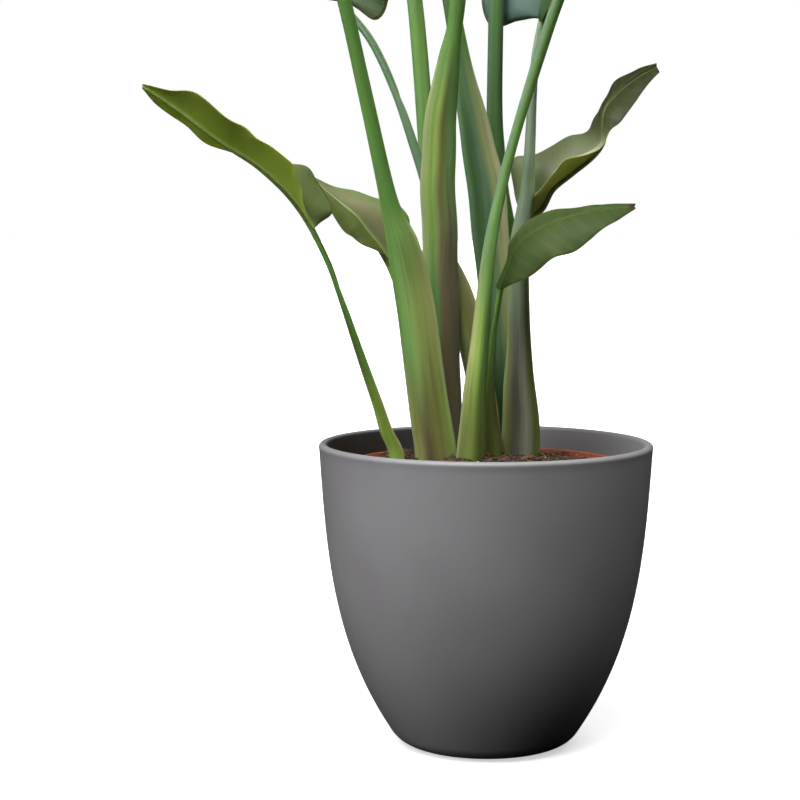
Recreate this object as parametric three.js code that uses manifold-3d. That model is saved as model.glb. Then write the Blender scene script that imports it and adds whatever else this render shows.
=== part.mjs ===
// A potted bird of paradise: a grey outer pot, the growing pot inside it, its soil and twelve leaves.
// Each leaf is a stalk (clasping sheath, leaf stalk and midrib in one) and a thin waved blade on top of
// the midrib. Millimetres, +Z up. The origin is the middle of the outer pot's flat foot, and the plant
// is seen from -Y, with +X to the right.

import * as THREE from 'three';
import { mergeVertices } from 'three/addons/utils/BufferGeometryUtils.js';
import Module from 'manifold-3d';

const wasm = await Module();
wasm.setup();

// ---------------------------------------------------------------- driving dimensions

const FIT_GAP = 0.3;                 // clearance between pieces that touch
const ROUND_SEGMENTS = 36;           // facets round the pots and the soil

// The outer pot narrows from its rim to its foot as rimRadius * (1 - taper * t - belly * t^bellyPower),
// where t is 0 at the rim and 1 at the floor, and an arc rounds the bottom edge.
const POT = {
  height: 255,
  rimRadius: 140,
  wall: 7.5,
  floor: 9,
  taper: 0.12,
  belly: 0.37,
  bellyPower: 3.3,
  footRadius: 58,
  innerFootRadius: 56,
  footRounding: 26,
  footArcDegrees: 57,
};

const NURSERY = {
  footHeight: 28,                    // it hangs by its foot in the narrowing outer pot
  rimHeight: 238,
  wallTopRadius: 111,
  rimRadius: 115,
  collarHeight: 9,
  wall: 1.8,
  drainHoles: 6,
  drainRadius: 6,
  drainRing: 48,
};

const SOIL = {
  crownHeight: 245,                  // in the middle, among the stalks
  edgeDrop: 13,                      // how much lower it is at the pot's wall
  bump: 0.7,
  swells: [[0.11, 0.13, 0.6], [0.11, -0.13, 2.0], [0.27, -0.19, 2.1]],
  rings: 4,
};

const STALK = {
  sides: 10,
  sheathRun: 90,                     // the length over which a leaf stalk opens into its sheath
  thinning: 0.72,                    // how much thinner the sheath is at its free margin
  thinningPower: 1.5,                // how close to that margin it thins
  cupping: 0.3,                      // how far the sheath's edges bend round the plant
  stalkDepth: 0.92,                  // thickness over width of the leaf stalk
  sheathDepth: 0.62,                 // thickness over width of the sheath
  runStep: 0.1,                      // share of the way to the next ring over which its run is taken
  holeRings: 3,                      // the rings of the stalk that stand in the soil
};

const BLADE = {
  thickness: 1.0,
  stations: [0, 0.04, 0.11, 0.2, 0.31, 0.43, 0.55, 0.67, 0.79, 0.9, 1],
  columns: [-1, -0.6, -0.22, 0, 0.22, 0.6, 1],
  tipHalfWidth: 1.5,
  footHalfWidth: 5,
  lobeReach: 0.06,                   // the share of the length at which a foot lobe hangs lowest
  unfolds: 0.6,                      // and by which a folded blade has opened out
  vee: 0.42,                         // slope of the two halves, up from the midrib
  droop: 0.4,                        // and their bend back down towards the margins
  frameStep: 0.02,                   // shares of the length: over which the midrib's run is taken
  frameInset: 0.05,                  // and how near the foot or tip the blade's sideways run is
  waveGrows: 30,                     // half width at which the waves reach their full height
  wavesAlong: 2.6,
  ribTip: 1.6,
  ribShare: 0.95,                    // width of the midrib at the blade's foot over the stalk's there
  ribPower: 0.9,
  ribGap: 0.45,                      // clearance between the midrib and the blade
};

// A spread blade's half width follows scale * u^footPower * (1 - u)^tipPower, 1 at its widest.
const PADDLE = { scale: 2.118, footPower: 0.42, tipPower: 0.72 };

const COLOUR = {
  pot: 0x5f5e5f,
  nursery: 0xb4573c,
  soil: 0x35281f,
};

// ---------------------------------------------------------------- the twelve leaves
//
// stalk: points up the stalk, each x, y, z and the width there.
// sheathTop: the height at which the sheath begins to open out of the leaf stalk.
// facing: the direction in plan of the section's wide way, in degrees from +X. The channel is 90 degrees
//   further round.
// margin: +1 or -1, the end of the section that is the sheath's thin free margin.
// blade: either a spread blade, which leans out in the direction azimuth from the height foot[2], or
//   three lines of points: the midrib and the two margins, left and right as seen from the leaf's foot
//   with its upper face up. A spread blade's lobes and fold are given for its left half and its right.

const LEAVES = [
  {
    name: 'leaf_left_front',
    colour: 0x5c8348,
    sheathTop: 462,
    facing: -18,
    margin: 1,
    stalk: [
      [-44, -18, 214, 36], [-44, -18, 250, 36], [-51, -19, 300, 34], [-61, -21, 375, 32.5],
      [-69.5, -22, 418, 28], [-81, -24, 457, 15], [-99, -28, 538, 12], [-117, -32, 618, 12],
      [-137, -37, 695, 11.5],
    ],
    blade: {
      foot: [-156, -42, 755],
      azimuth: 192,
      lean: [18, 86],
      length: 400,
      width: 176,
      lobes: [16, 16],
      fold: [0, 0],
      wave: 5,
      phase: 0.4,
    },
  },
  {
    name: 'leaf_left_slender',
    colour: 0x6b8f55,
    sheathTop: 462,
    facing: -22,
    margin: 1,
    stalk: [
      [3, 18, 214, 22], [3, 18, 250, 22], [-4, 21, 300, 24], [-20, 28, 371, 24],
      [-35, 32, 415, 14], [-46, 35, 457, 9], [-59, 37, 500, 8], [-76.5, 42, 550, 7], [-96.5, 46, 592, 6.6],
    ],
    blade: {
      foot: [-121, 49, 625],
      azimuth: 98,
      lean: [36, 74],
      length: 230,
      width: 108,
      lobes: [2, 24],
      fold: [0, -24],
      wave: 4,
      phase: 1.9,
    },
  },
  {
    name: 'leaf_back_left',
    colour: 0x6f9e57,
    sheathTop: 505,
    facing: 190,
    margin: 1,
    stalk: [
      [-35, 54, 214, 26], [-35, 54, 250, 26], [-38, 56, 340, 25], [-40, 57, 415, 24],
      [-44, 59, 458, 20], [-48.5, 61, 500, 15], [-55, 66, 585, 14], [-62, 72, 650, 13.5],
    ],
    blade: {
      foot: [-72, 84, 740],
      azimuth: 150,
      lean: [14, 74],
      length: 370,
      width: 160,
      lobes: [14, 14],
      fold: [0, 0],
      wave: 5,
      phase: 3.1,
    },
  },
  {
    name: 'leaf_centre',
    colour: 0x86a35a,
    sheathTop: 600,
    facing: 8,
    margin: -1,
    stalk: [
      [-33, 14, 214, 29], [-33, 14, 250, 29], [-35, 12, 332, 29], [-38, 10, 424, 30], [-39.5, 7, 486, 29],
      [-37, 3, 530, 26], [-31, -1, 574, 18], [-27, -4, 598, 13], [-24, -7, 625, 13.5], [-16, -17, 705, 13],
    ],
    blade: {
      foot: [-6, -31, 790],
      azimuth: 288,
      lean: [12, 84],
      length: 410,
      width: 184,
      lobes: [18, 18],
      fold: [0, 0],
      wave: 6,
      phase: 5.2,
    },
  },
  {
    name: 'leaf_back_broad',
    colour: 0x476b49,
    sheathTop: 600,
    facing: 176,
    margin: -1,
    stalk: [
      [19, 46, 214, 27], [19, 46, 250, 27], [14, 45, 329, 28], [7, 45, 415, 31], [2, 45, 466, 32],
      [-4, 46, 500, 28.5], [-12.5, 47, 538, 23], [-20, 49, 576, 16.5], [-29, 51, 626, 13.5],
      [-44, 57, 705, 12.5],
    ],
    blade: {
      foot: [-66, 66, 815],
      azimuth: 146,
      lean: [12, 58],
      length: 390,
      width: 164,
      lobes: [16, 16],
      fold: [0, 0],
      wave: 5,
      phase: 0.9,
    },
  },
  {
    name: 'leaf_back_upright',
    colour: 0x4b7a4a,
    sheathTop: 530,
    facing: 180,
    margin: 1,
    stalk: [
      [27, 78, 214, 28], [27, 78, 250, 28], [24, 77, 327, 27], [18, 77, 414, 24], [14, 77, 458, 20],
      [11, 77, 501, 16], [10, 77, 544, 13.5], [11, 78, 629, 13], [11, 82, 690, 12.5],
    ],
    blade: {
      foot: [11, 91, 745],
      azimuth: 86,
      lean: [14, 72],
      length: 350,
      width: 150,
      lobes: [14, 14],
      fold: [0, 0],
      wave: 5,
      phase: 2.4,
    },
  },
  {
    name: 'leaf_right_front',
    colour: 0x6fa352,
    sheathTop: 430,
    facing: 14,
    margin: -1,
    stalk: [
      [-12, -26, 214, 26], [-12, -26, 250, 25], [-8.5, -30, 310, 18.5], [-4, -33, 362, 14],
      [1, -38, 417, 11], [10, -42, 465, 9], [22, -47, 513, 8.3], [41, -54, 576, 9.5], [54, -58, 615, 9.5],
      [80.5, -65, 685, 9],
    ],
    blade: {
      foot: [111, -72, 745],
      azimuth: 318,
      lean: [26, 88],
      length: 350,
      width: 156,
      lobes: [14, 14],
      fold: [0, 0],
      wave: 5,
      phase: 4.1,
    },
  },
  {
    name: 'leaf_right_back',
    colour: 0x748a70,
    sheathTop: 465,
    facing: 18,
    margin: -1,
    stalk: [
      [31.5, 7, 214, 35], [31.5, 7, 250, 35], [30.5, 8, 290, 30], [29, 11, 340, 21], [28.5, 13, 390, 19],
      [30, 15, 424, 18], [35, 18, 466, 12], [37, 20, 499, 9.5], [41.5, 42, 566, 8.3],
    ],
    blade: {
      foot: [48, 68, 612],
      azimuth: 338,
      lean: [16, 74],
      length: 330,
      width: 176,
      lobes: [34, 14],
      fold: [80, -26],
      wave: 4,
      phase: 2.9,
    },
  },
  {
    name: 'leaf_small_low_left',
    colour: 0x5f8a34,
    sheathTop: 330,
    facing: -30,
    margin: 1,
    stalk: [
      [-75, -19, 214, 14], [-75, -19, 246, 14], [-84, -24, 268, 12], [-91.5, -29, 293, 9.5],
      [-105.5, -38, 335, 7], [-119, -47, 376, 5.5], [-129, -53, 405, 5],
    ],
    blade: {
      midrib: [
        [-141, -59, 434], [-150, -61, 448.5], [-160, -64, 461.5], [-172, -66, 473.5], [-187, -68, 486],
        [-203, -70, 496], [-220, -71, 507], [-240, -72, 522], [-258, -73, 535], [-275, -74, 546],
      ],
      left: [
        [-145, -60, 438], [-149, -68, 456], [-153, -76, 474], [-157, -82, 485], [-176, -84, 500],
        [-191, -84, 511], [-209, -82, 522], [-231, -80, 540], [-253, -77, 543], [-275, -75, 548],
      ],
      right: [
        [-138, -56, 437], [-127, -44, 447], [-134, -34, 464], [-145, -30, 481], [-166, -34, 487],
        [-190, -40, 489], [-224, -46, 501], [-245, -54, 517], [-264, -64, 531], [-276, -73, 545],
      ],
    },
  },
  {
    name: 'leaf_small_inner_left',
    colour: 0x7d8a52,
    sheathTop: 300,
    facing: -100,
    margin: 1,
    stalk: [
      [-55, 7, 214, 9], [-55, 7, 250, 9], [-58, 8, 290, 8.5], [-63, 9, 332, 7.5], [-70, 11, 374, 6.5],
    ],
    blade: {
      midrib: [
        [-79, 12, 403], [-88, 10, 418], [-99, 8, 432], [-109, 6, 445], [-121, 5, 455],
        [-133, 4, 465], [-143, 3, 474],
      ],
      left: [
        [-81, 11, 408], [-92, 1, 416], [-102, -4, 419], [-110, -5, 426], [-119, -4, 432],
        [-130, -2, 449], [-144, 2, 473],
      ],
      right: [
        [-76, 15, 407], [-64, 25, 435], [-71, 30, 451], [-90, 32, 459.5], [-112, 28, 464.5],
        [-130, 18, 470], [-143, 5, 476],
      ],
    },
  },
  {
    name: 'leaf_small_upper_right',
    colour: 0x59703c,
    sheathTop: 310,
    facing: 100,
    margin: 1,
    stalk: [
      [37, 34, 214, 9], [37, 34, 250, 9], [35, 34, 290, 8.5], [32, 34, 350, 7], [31, 34, 407, 6],
    ],
    blade: {
      midrib: [
        [34, 34, 440], [47, 30, 451], [56, 27, 467], [72, 24, 480.5], [89, 24, 494], [98, 27, 506],
        [99, 32, 521], [102, 37, 535], [113, 41, 548], [128, 44, 560], [146, 46, 570],
      ],
      left: [
        [31, 37, 444], [25, 45, 466], [26, 51, 493], [47, 52, 497.5], [70, 52, 510], [88, 52, 517],
        [96, 52, 530], [103, 52, 544], [112, 52, 558], [129, 50, 568], [146, 48, 573],
      ],
      right: [
        [37, 31, 441], [41, 17, 459], [49, 8, 470], [60, 2, 486], [76, 3, 493], [95, 12, 500],
        [105, 17, 515.5], [115, 22, 525], [126, 29, 539], [137, 36, 554], [148, 44, 565],
      ],
    },
  },
  {
    name: 'leaf_small_lower_right',
    colour: 0x5f7f38,
    sheathTop: 330,
    facing: 20,
    margin: 1,
    stalk: [
      [7, -5, 214, 22], [7, -5, 246, 22], [4, -7, 268, 17], [2.5, -10, 291, 12], [3.5, -14, 321, 7.5],
      [6, -18, 350, 5.5],
    ],
    blade: {
      midrib: [
        [9, -22, 384], [16, -24, 402], [24, -26, 420], [40, -28, 433], [61, -30, 442], [83, -32, 448],
        [103, -33, 451], [119, -34, 452],
      ],
      left: [
        [7, -20, 387], [17, -14, 409], [21, -8, 426], [35, -6, 440.5], [61, -10, 450], [85, -16, 452],
        [104, -24, 454], [120, -33, 454],
      ],
      right: [
        [12, -25, 384], [21, -34, 389], [34, -42, 395], [51, -48, 409], [71, -50, 416.5], [90, -48, 432],
        [106, -42, 441.5], [120, -35, 450],
      ],
    },
  },
];

// ---------------------------------------------------------------- small mathematics

const degrees = Math.PI / 180;
const clamp01 = (value) => Math.min(1, Math.max(0, value));
const smoothstep = (value) => clamp01(value) ** 2 * (3 - 2 * clamp01(value));
const vector = (values) => new THREE.Vector3(values[0], values[1], values[2]);

// A smooth line through rows of numbers, row by row at whole values of t. Each column follows its own
// cubic, whose slope at a row is half the step between the rows beside it.
function through(rows, t) {
  const last = rows.length - 1;
  const i = Math.min(last - 1, Math.max(0, Math.floor(t)));
  const f = t - i;
  return rows[i].map((a, k) => {
    const b = rows[i + 1][k];
    const slopeA = i > 0 ? (b - rows[i - 1][k]) / 2 : b - a;
    const slopeB = i + 2 <= last ? (rows[i + 2][k] - a) / 2 : b - a;
    const square = f * f;
    const cube = square * f;
    return a * (2 * cube - 3 * square + 1) + slopeA * (cube - 2 * square + f)
      + b * (3 * square - 2 * cube) + slopeB * (cube - square);
  });
}

// ---------------------------------------------------------------- geometry helpers

function geometryFrom(points, triangles) {
  const geometry = new THREE.BufferGeometry();
  const values = points.flatMap((point) => point.toArray());
  geometry.setAttribute('position', new THREE.Float32BufferAttribute(values, 3));
  geometry.setIndex(triangles.flat());
  return geometry;
}

function solidFrom(geometry) {
  const bare = geometry.clone();
  bare.deleteAttribute('normal');
  bare.deleteAttribute('uv');
  const merged = mergeVertices(bare, 1e-4);
  return new wasm.Manifold(new wasm.Mesh({
    numProp: 3,
    vertProperties: new Float32Array(merged.attributes.position.array),
    triVerts: new Uint32Array(merged.index.array),
  }));
}

function geometryOf(solid) {
  const mesh = solid.getMesh();
  const geometry = new THREE.BufferGeometry();
  geometry.setAttribute('position', new THREE.BufferAttribute(new Float32Array(mesh.vertProperties), 3));
  geometry.setIndex(new THREE.BufferAttribute(new Uint32Array(mesh.triVerts), 1));
  return geometry;
}

// A closed body through rings of points, each ring turning anticlockwise as seen from the far end.
function loft(rings) {
  const sides = rings[0].length;
  const points = rings.flat();
  const triangles = [];
  for (let ring = 0; ring < rings.length - 1; ring += 1) {
    for (let side = 0; side < sides; side += 1) {
      const a = ring * sides + side;
      const b = ring * sides + (side + 1) % sides;
      triangles.push([a, b, b + sides], [a, b + sides, a + sides]);
    }
  }
  const top = (rings.length - 1) * sides;
  for (let side = 1; side < sides - 1; side += 1) {
    triangles.push([0, side + 1, side]);
    triangles.push([top, top + side, top + side + 1]);
  }
  return geometryFrom(points, triangles);
}

// A turned body from its profile, a list of [radius, height] that runs from the foot outside and back
// inside.
function turned(profile) {
  const outline = profile.map(([radius, height]) => new THREE.Vector2(radius, height));
  const geometry = new THREE.LatheGeometry(outline, ROUND_SEGMENTS);
  geometry.rotateX(Math.PI / 2);
  return geometry;
}

function arc(centre, radius, fromDegrees, toDegrees, steps) {
  const points = [];
  for (let step = 0; step <= steps; step += 1) {
    const angle = (fromDegrees + (toDegrees - fromDegrees) * step / steps) * degrees;
    points.push([centre[0] + radius * Math.cos(angle), centre[1] + radius * Math.sin(angle)]);
  }
  return points;
}

// ---------------------------------------------------------------- the pots

function potRadius(height) {
  const t = 1 - height / POT.height;
  return POT.rimRadius * (1 - POT.taper * t - POT.belly * t ** POT.bellyPower);
}

const potInnerRadius = (height) => potRadius(height) - POT.wall;

function outerPot() {
  const bend = POT.wall / 2;
  const rimCentre = [POT.rimRadius - bend, POT.height - bend];
  const arcEnd = POT.footArcDegrees - 90;
  const outside = [22, 40, 65, 100, 145, 195].map((z) => [potRadius(z), z]);
  const inside = [195, 145, 100, 65, NURSERY.footHeight].map((z) => [potInnerRadius(z), z]);
  return turned([
    [0, 0],
    ...arc([POT.footRadius, POT.footRounding], POT.footRounding, -90, arcEnd, 3),
    ...outside,
    ...arc(rimCentre, bend, 0, 180, 5),
    ...inside,
    ...arc([POT.innerFootRadius, POT.floor + POT.footRounding], POT.footRounding, arcEnd, -90, 2),
    [0, POT.floor],
  ]);
}

const nurseryFootRadius = potInnerRadius(NURSERY.footHeight) - FIT_GAP;
const collarFoot = NURSERY.rimHeight - NURSERY.collarHeight;

function nurseryPot() {
  const { footHeight, rimHeight, wallTopRadius, rimRadius, wall } = NURSERY;
  const body = turned([
    [0, footHeight],
    [nurseryFootRadius, footHeight],
    [wallTopRadius, collarFoot - wall],
    [rimRadius, collarFoot],
    [rimRadius, rimHeight],
    [rimRadius - wall, rimHeight],
    [rimRadius - wall, collarFoot + wall],
    [wallTopRadius - wall, collarFoot],
    [nurseryFootRadius - wall, footHeight + wall],
    [0, footHeight + wall],
  ]);
  let solid = solidFrom(body);
  for (let hole = 0; hole < NURSERY.drainHoles; hole += 1) {
    const angle = hole / NURSERY.drainHoles * 2 * Math.PI;
    const drill = new THREE.CylinderGeometry(NURSERY.drainRadius, NURSERY.drainRadius, 4 * wall, 10);
    drill.rotateX(Math.PI / 2);
    drill.translate(NURSERY.drainRing * Math.cos(angle), NURSERY.drainRing * Math.sin(angle), footHeight);
    solid = solid.subtract(solidFrom(drill));
  }
  return geometryOf(solid);
}

// ---------------------------------------------------------------- leaves

// A point of the leaf's middle surface, at u from foot (0) to tip (1) and v from the right margin (-1)
// over the midrib (0) to the left margin (1).
function bladePoint(blade, u, v) {
  return blade.midrib ? drawnPoint(blade, u, v) : spreadPoint(blade, u, v);
}

// Between three drawn lines the surface runs straight from the midrib to each margin.
function drawnPoint(blade, u, v) {
  const t = u * (blade.midrib.length - 1);
  const middle = vector(through(blade.midrib, t));
  const margin = vector(through(v < 0 ? blade.right : blade.left, t));
  return middle.lerp(margin, Math.abs(v));
}

// A spread blade's midrib is an arc that leans further out as it goes. The blade is a paddle, its two
// halves rise from the midrib in a shallow V, droop towards their margins, and wave along them. At the
// foot each half has a round lobe that hangs below the place where the blade begins, and may be turned
// about the midrib, up by its fold in degrees.
function spreadPoint(blade, u, v) {
  const { foot, azimuth, lean, length, width, lobes, fold, wave, phase } = blade;
  const out = new THREE.Vector3(Math.cos(azimuth * degrees), Math.sin(azimuth * degrees), 0);
  const up = new THREE.Vector3(0, 0, 1);
  const from = lean[0] * degrees;
  const turn = (lean[1] - lean[0]) * degrees;
  const angle = from + turn * u;
  const side = up.clone().cross(out);
  const normal = out.clone().multiplyScalar(-Math.cos(angle)).addScaledVector(up, Math.sin(angle));
  const paddle = PADDLE.scale * u ** PADDLE.footPower * (1 - u) ** PADDLE.tipPower;
  const least = BLADE.footHalfWidth + (BLADE.tipHalfWidth - BLADE.footHalfWidth) * u;
  const half = Math.max(width / 2 * paddle, least);
  const across = Math.abs(v);
  const ripple = Math.sin(2 * Math.PI * BLADE.wavesAlong * u + phase + v);
  const rise = half * (BLADE.vee * across - BLADE.droop * v * v)
    + wave * v * v * clamp01(half / BLADE.waveGrows) * ripple;
  const which = v < 0 ? 1 : 0;
  const hang = lobes[which] * v * v * (u / BLADE.lobeReach) * Math.exp(1 - u / BLADE.lobeReach);
  const folded = fold[which] * degrees * (1 - smoothstep(u / BLADE.unfolds));
  const sideways = Math.sign(v) * (across * half * Math.cos(folded) - rise * Math.sin(folded));
  const lift = across * half * Math.sin(folded) + rise * Math.cos(folded);
  const along = out.clone().multiplyScalar(Math.sin(angle)).addScaledVector(up, Math.cos(angle));
  return vector(foot)
    .addScaledVector(out, length / turn * (Math.cos(from) - Math.cos(angle)))
    .addScaledVector(up, length / turn * (Math.sin(angle) - Math.sin(from)))
    .addScaledVector(side, sideways)
    .addScaledVector(normal, lift)
    .addScaledVector(along, -hang);
}

// The blade's own directions on the midrib: along it, to its left, and out of its upper face.
function bladeFrame(blade, u) {
  const before = bladePoint(blade, Math.max(0, u - BLADE.frameStep), 0);
  const after = bladePoint(blade, Math.min(1, u + BLADE.frameStep), 0);
  const along = after.sub(before).normalize();
  const nearby = Math.min(1 - BLADE.frameInset, Math.max(BLADE.frameInset, u));
  const left = bladePoint(blade, nearby, 1).sub(bladePoint(blade, nearby, -1));
  left.addScaledVector(along, -left.dot(along)).normalize();
  return { along, left, normal: along.clone().cross(left) };
}

// A thin closed sheet. Both faces are split into the same triangles, half a thickness each side of the
// middle surface.
function bladeSheet(blade) {
  const rows = BLADE.stations.map((u) => BLADE.columns.map((v) => bladePoint(blade, u, v)));
  const wide = BLADE.columns.length;
  const long = rows.length;
  const normals = rows.map((row, i) => row.map((point, j) => {
    const along = rows[Math.min(long - 1, i + 1)][j].clone().sub(rows[Math.max(0, i - 1)][j]);
    const across = row[Math.min(wide - 1, j + 1)].clone().sub(row[Math.max(0, j - 1)]);
    return along.cross(across).normalize();
  }));
  const face = (offset) => rows.flatMap((row, i) => row.map(
    (point, j) => point.clone().addScaledVector(normals[i][j], offset * BLADE.thickness / 2),
  ));
  const points = [...face(1), ...face(-1)];
  const under = wide * long;
  const triangles = [];
  for (let i = 0; i < long - 1; i += 1) {
    for (let j = 0; j < wide - 1; j += 1) {
      const a = i * wide + j;
      const quads = [[a, a + wide, a + wide + 1], [a, a + wide + 1, a + 1]];
      for (const [p, q, r] of quads) {
        triangles.push([p, q, r], [p + under, r + under, q + under]);
      }
    }
  }
  const corners = wide * (long - 1);
  const rim = [
    ...Array.from({ length: wide - 1 }, (_, j) => j),
    ...Array.from({ length: long - 1 }, (_, i) => i * wide + wide - 1),
    ...Array.from({ length: wide - 1 }, (_, j) => corners + wide - 1 - j),
    ...Array.from({ length: long - 1 }, (_, i) => (long - 1 - i) * wide),
  ];
  rim.forEach((p, k) => {
    const q = rim[(k + 1) % rim.length];
    triangles.push([p, q, q + under], [p, q + under, p + under]);
  });
  return geometryFrom(points, triangles);
}

// Where the midrib lies under the blade, with its width there.
function ribRow(blade, u, footWidth) {
  const width = BLADE.ribTip + (footWidth - BLADE.ribTip) * (1 - u) ** BLADE.ribPower;
  const { normal } = bladeFrame(blade, u);
  const depth = width * STALK.stalkDepth;
  const point = bladePoint(blade, u, 0);
  point.addScaledVector(normal, -(BLADE.thickness / 2 + BLADE.ribGap + depth / 2));
  return [...point.toArray(), width];
}

// One section of a stalk. The sheath's section is a crescent, thinner at its free margin.
function stalkRing(centre, along, wide, width, open, margin, grow) {
  const deep = along.clone().cross(wide);
  const half = width / 2 + grow;
  const depth = width * (STALK.stalkDepth + (STALK.sheathDepth - STALK.stalkDepth) * open) / 2 + grow;
  const ring = [];
  for (let side = 0; side < STALK.sides; side += 1) {
    const angle = side / STALK.sides * 2 * Math.PI;
    const across = Math.cos(angle);
    const thin = 1 - STALK.thinning * open * Math.max(0, margin * across) ** STALK.thinningPower;
    const bend = STALK.cupping * open * half * across * across;
    ring.push(centre.clone()
      .addScaledVector(wide, half * across)
      .addScaledVector(deep, bend + depth * Math.sin(angle) * thin));
  }
  return ring;
}

// The rings of a leaf's stalk: one at each drawn point, then one under each of the blade's stations.
function stalkRings(leaf, grow) {
  const { stalk, blade, sheathTop, facing, margin } = leaf;
  const footWidth = stalk[stalk.length - 1][3];
  const ribs = BLADE.stations.slice(0, -1).map((u) => ribRow(blade, u, footWidth * BLADE.ribShare));
  const rows = [...stalk, ...ribs];
  const drawn = stalk.length;
  const startWide = new THREE.Vector3(Math.cos(facing * degrees), Math.sin(facing * degrees), 0);
  const footFrame = bladeFrame(blade, 0);
  const footZ = ribs[0][2];
  const last = rows.length - 1;
  return rows.map(([x, y, z, width], t) => {
    const before = vector(through(rows, Math.max(0, t - STALK.runStep)));
    const along = vector(through(rows, Math.min(last, t + STALK.runStep))).sub(before).normalize();
    const open = smoothstep((sheathTop - z) / STALK.sheathRun);
    let wide = startWide.clone().lerp(footFrame.left, smoothstep((z - sheathTop) / (footZ - sheathTop)));
    if (t >= drawn) {
      wide = bladeFrame(blade, BLADE.stations[t - drawn]).left;
    }
    wide.addScaledVector(along, -wide.dot(along)).normalize();
    return stalkRing(new THREE.Vector3(x, y, z), along, wide, width, open, margin, grow);
  });
}

const stalkBody = (leaf) => loft(stalkRings(leaf, 0));

// The plain hole that a stalk stands in: the lower stalk, wider and deeper by the clearance.
function stalkHole(leaf) {
  const rings = stalkRings(leaf, FIT_GAP).slice(0, STALK.holeRings);
  rings[0].forEach((point) => point.setZ(point.z - FIT_GAP));
  return loft(rings);
}

// ---------------------------------------------------------------- soil

// The soil is a low dome with a few broad swells, each a sine along its own direction in plan.
function soilHeight(x, y) {
  const edge = Math.hypot(x, y) / NURSERY.wallTopRadius;
  const swells = SOIL.swells.map(([alongX, alongY, phase]) => Math.sin(alongX * x + alongY * y + phase));
  const bumps = swells.reduce((sum, swell) => sum + swell, 0);
  return SOIL.crownHeight - SOIL.edgeDrop * edge * edge + SOIL.bump * bumps;
}

function soilBody() {
  const gap = NURSERY.wall + FIT_GAP;
  const topRadius = NURSERY.wallTopRadius - gap;
  const footRadius = nurseryFootRadius - gap;
  const ring = (radius, height) => Array.from({ length: ROUND_SEGMENTS }, (_, k) => {
    const angle = k / ROUND_SEGMENTS * 2 * Math.PI;
    const x = radius * Math.sin(angle);
    const y = -radius * Math.cos(angle);
    return new THREE.Vector3(x, y, height ?? soilHeight(x, y));
  });
  const rings = [ring(footRadius, NURSERY.footHeight + gap), ring(topRadius, collarFoot)];
  for (let k = 0; k < SOIL.rings; k += 1) {
    rings.push(ring(topRadius * (1 - k / SOIL.rings)));
  }
  let solid = solidFrom(loft(rings));
  for (const leaf of LEAVES) {
    solid = solid.subtract(solidFrom(stalkHole(leaf)));
  }
  return geometryOf(solid);
}

// ---------------------------------------------------------------- the object

const finish = (color, roughness) => new THREE.MeshStandardMaterial({ color, roughness, metalness: 0 });

function piece(name, geometry, material) {
  const mesh = new THREE.Mesh(geometry, material);
  mesh.name = name;
  return mesh;
}

const group = new THREE.Group();
group.add(piece('outer_pot', outerPot(), finish(COLOUR.pot, 0.55)));
group.add(piece('nursery_pot', nurseryPot(), finish(COLOUR.nursery, 0.6)));
group.add(piece('soil', soilBody(), finish(COLOUR.soil, 0.95)));
for (const leaf of LEAVES) {
  group.add(piece(`${leaf.name}_stalk`, stalkBody(leaf), finish(leaf.colour, 0.45)));
  group.add(piece(`${leaf.name}_blade`, bladeSheet(leaf.blade), finish(leaf.colour, 0.5)));
}

export default group;
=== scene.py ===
"""The looks of a potted bird of paradise: pots, soil and twelve leaves, dressed round the CAD frame.

Everything is in the frame of the CAD part: +Z up, the viewer at -Y, the origin under the middle of the
outer pot. The shapes are worked out in millimetres and put into the meshes in metres.
"""

import logging
import math
from dataclasses import dataclass, field
from enum import Enum
from typing import Callable

import bpy
import numpy as np
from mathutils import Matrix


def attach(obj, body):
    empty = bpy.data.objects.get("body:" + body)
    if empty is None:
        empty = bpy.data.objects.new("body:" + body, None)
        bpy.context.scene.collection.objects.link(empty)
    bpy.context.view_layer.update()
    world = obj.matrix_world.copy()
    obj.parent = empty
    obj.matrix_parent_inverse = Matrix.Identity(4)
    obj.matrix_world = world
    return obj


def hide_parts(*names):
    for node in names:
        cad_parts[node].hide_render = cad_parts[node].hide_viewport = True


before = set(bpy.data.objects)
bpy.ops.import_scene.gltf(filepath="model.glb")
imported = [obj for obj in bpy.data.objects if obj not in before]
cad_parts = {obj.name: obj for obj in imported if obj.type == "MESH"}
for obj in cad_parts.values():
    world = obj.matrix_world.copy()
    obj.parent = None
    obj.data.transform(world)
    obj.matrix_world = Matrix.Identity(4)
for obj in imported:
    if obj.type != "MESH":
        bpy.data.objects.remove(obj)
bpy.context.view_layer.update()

Array = np.ndarray
Colour = tuple[float, float, float, float]
Rows = tuple[tuple[float, ...], ...]

LOG = logging.getLogger("potted_plant")
BODY = "root"
MM = 0.001
UP = np.array([0.0, 0.0, 1.0])


# ---------------------------------------------------------------- colours


def linear(code: str) -> Colour:
    """Turns a hex colour into the linear colour that a shader takes.

    Args:
        code: the colour as "#rrggbb".

    Returns:
        Linear red, green and blue, and full alpha.
    """
    parts = [int(code[k:k + 2], 16) / 255 for k in (1, 3, 5)]
    red, green, blue = (((p + 0.055) / 1.055) ** 2.4 if p > 0.04045 else p / 12.92 for p in parts)
    return (red, green, blue, 1.0)


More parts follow.
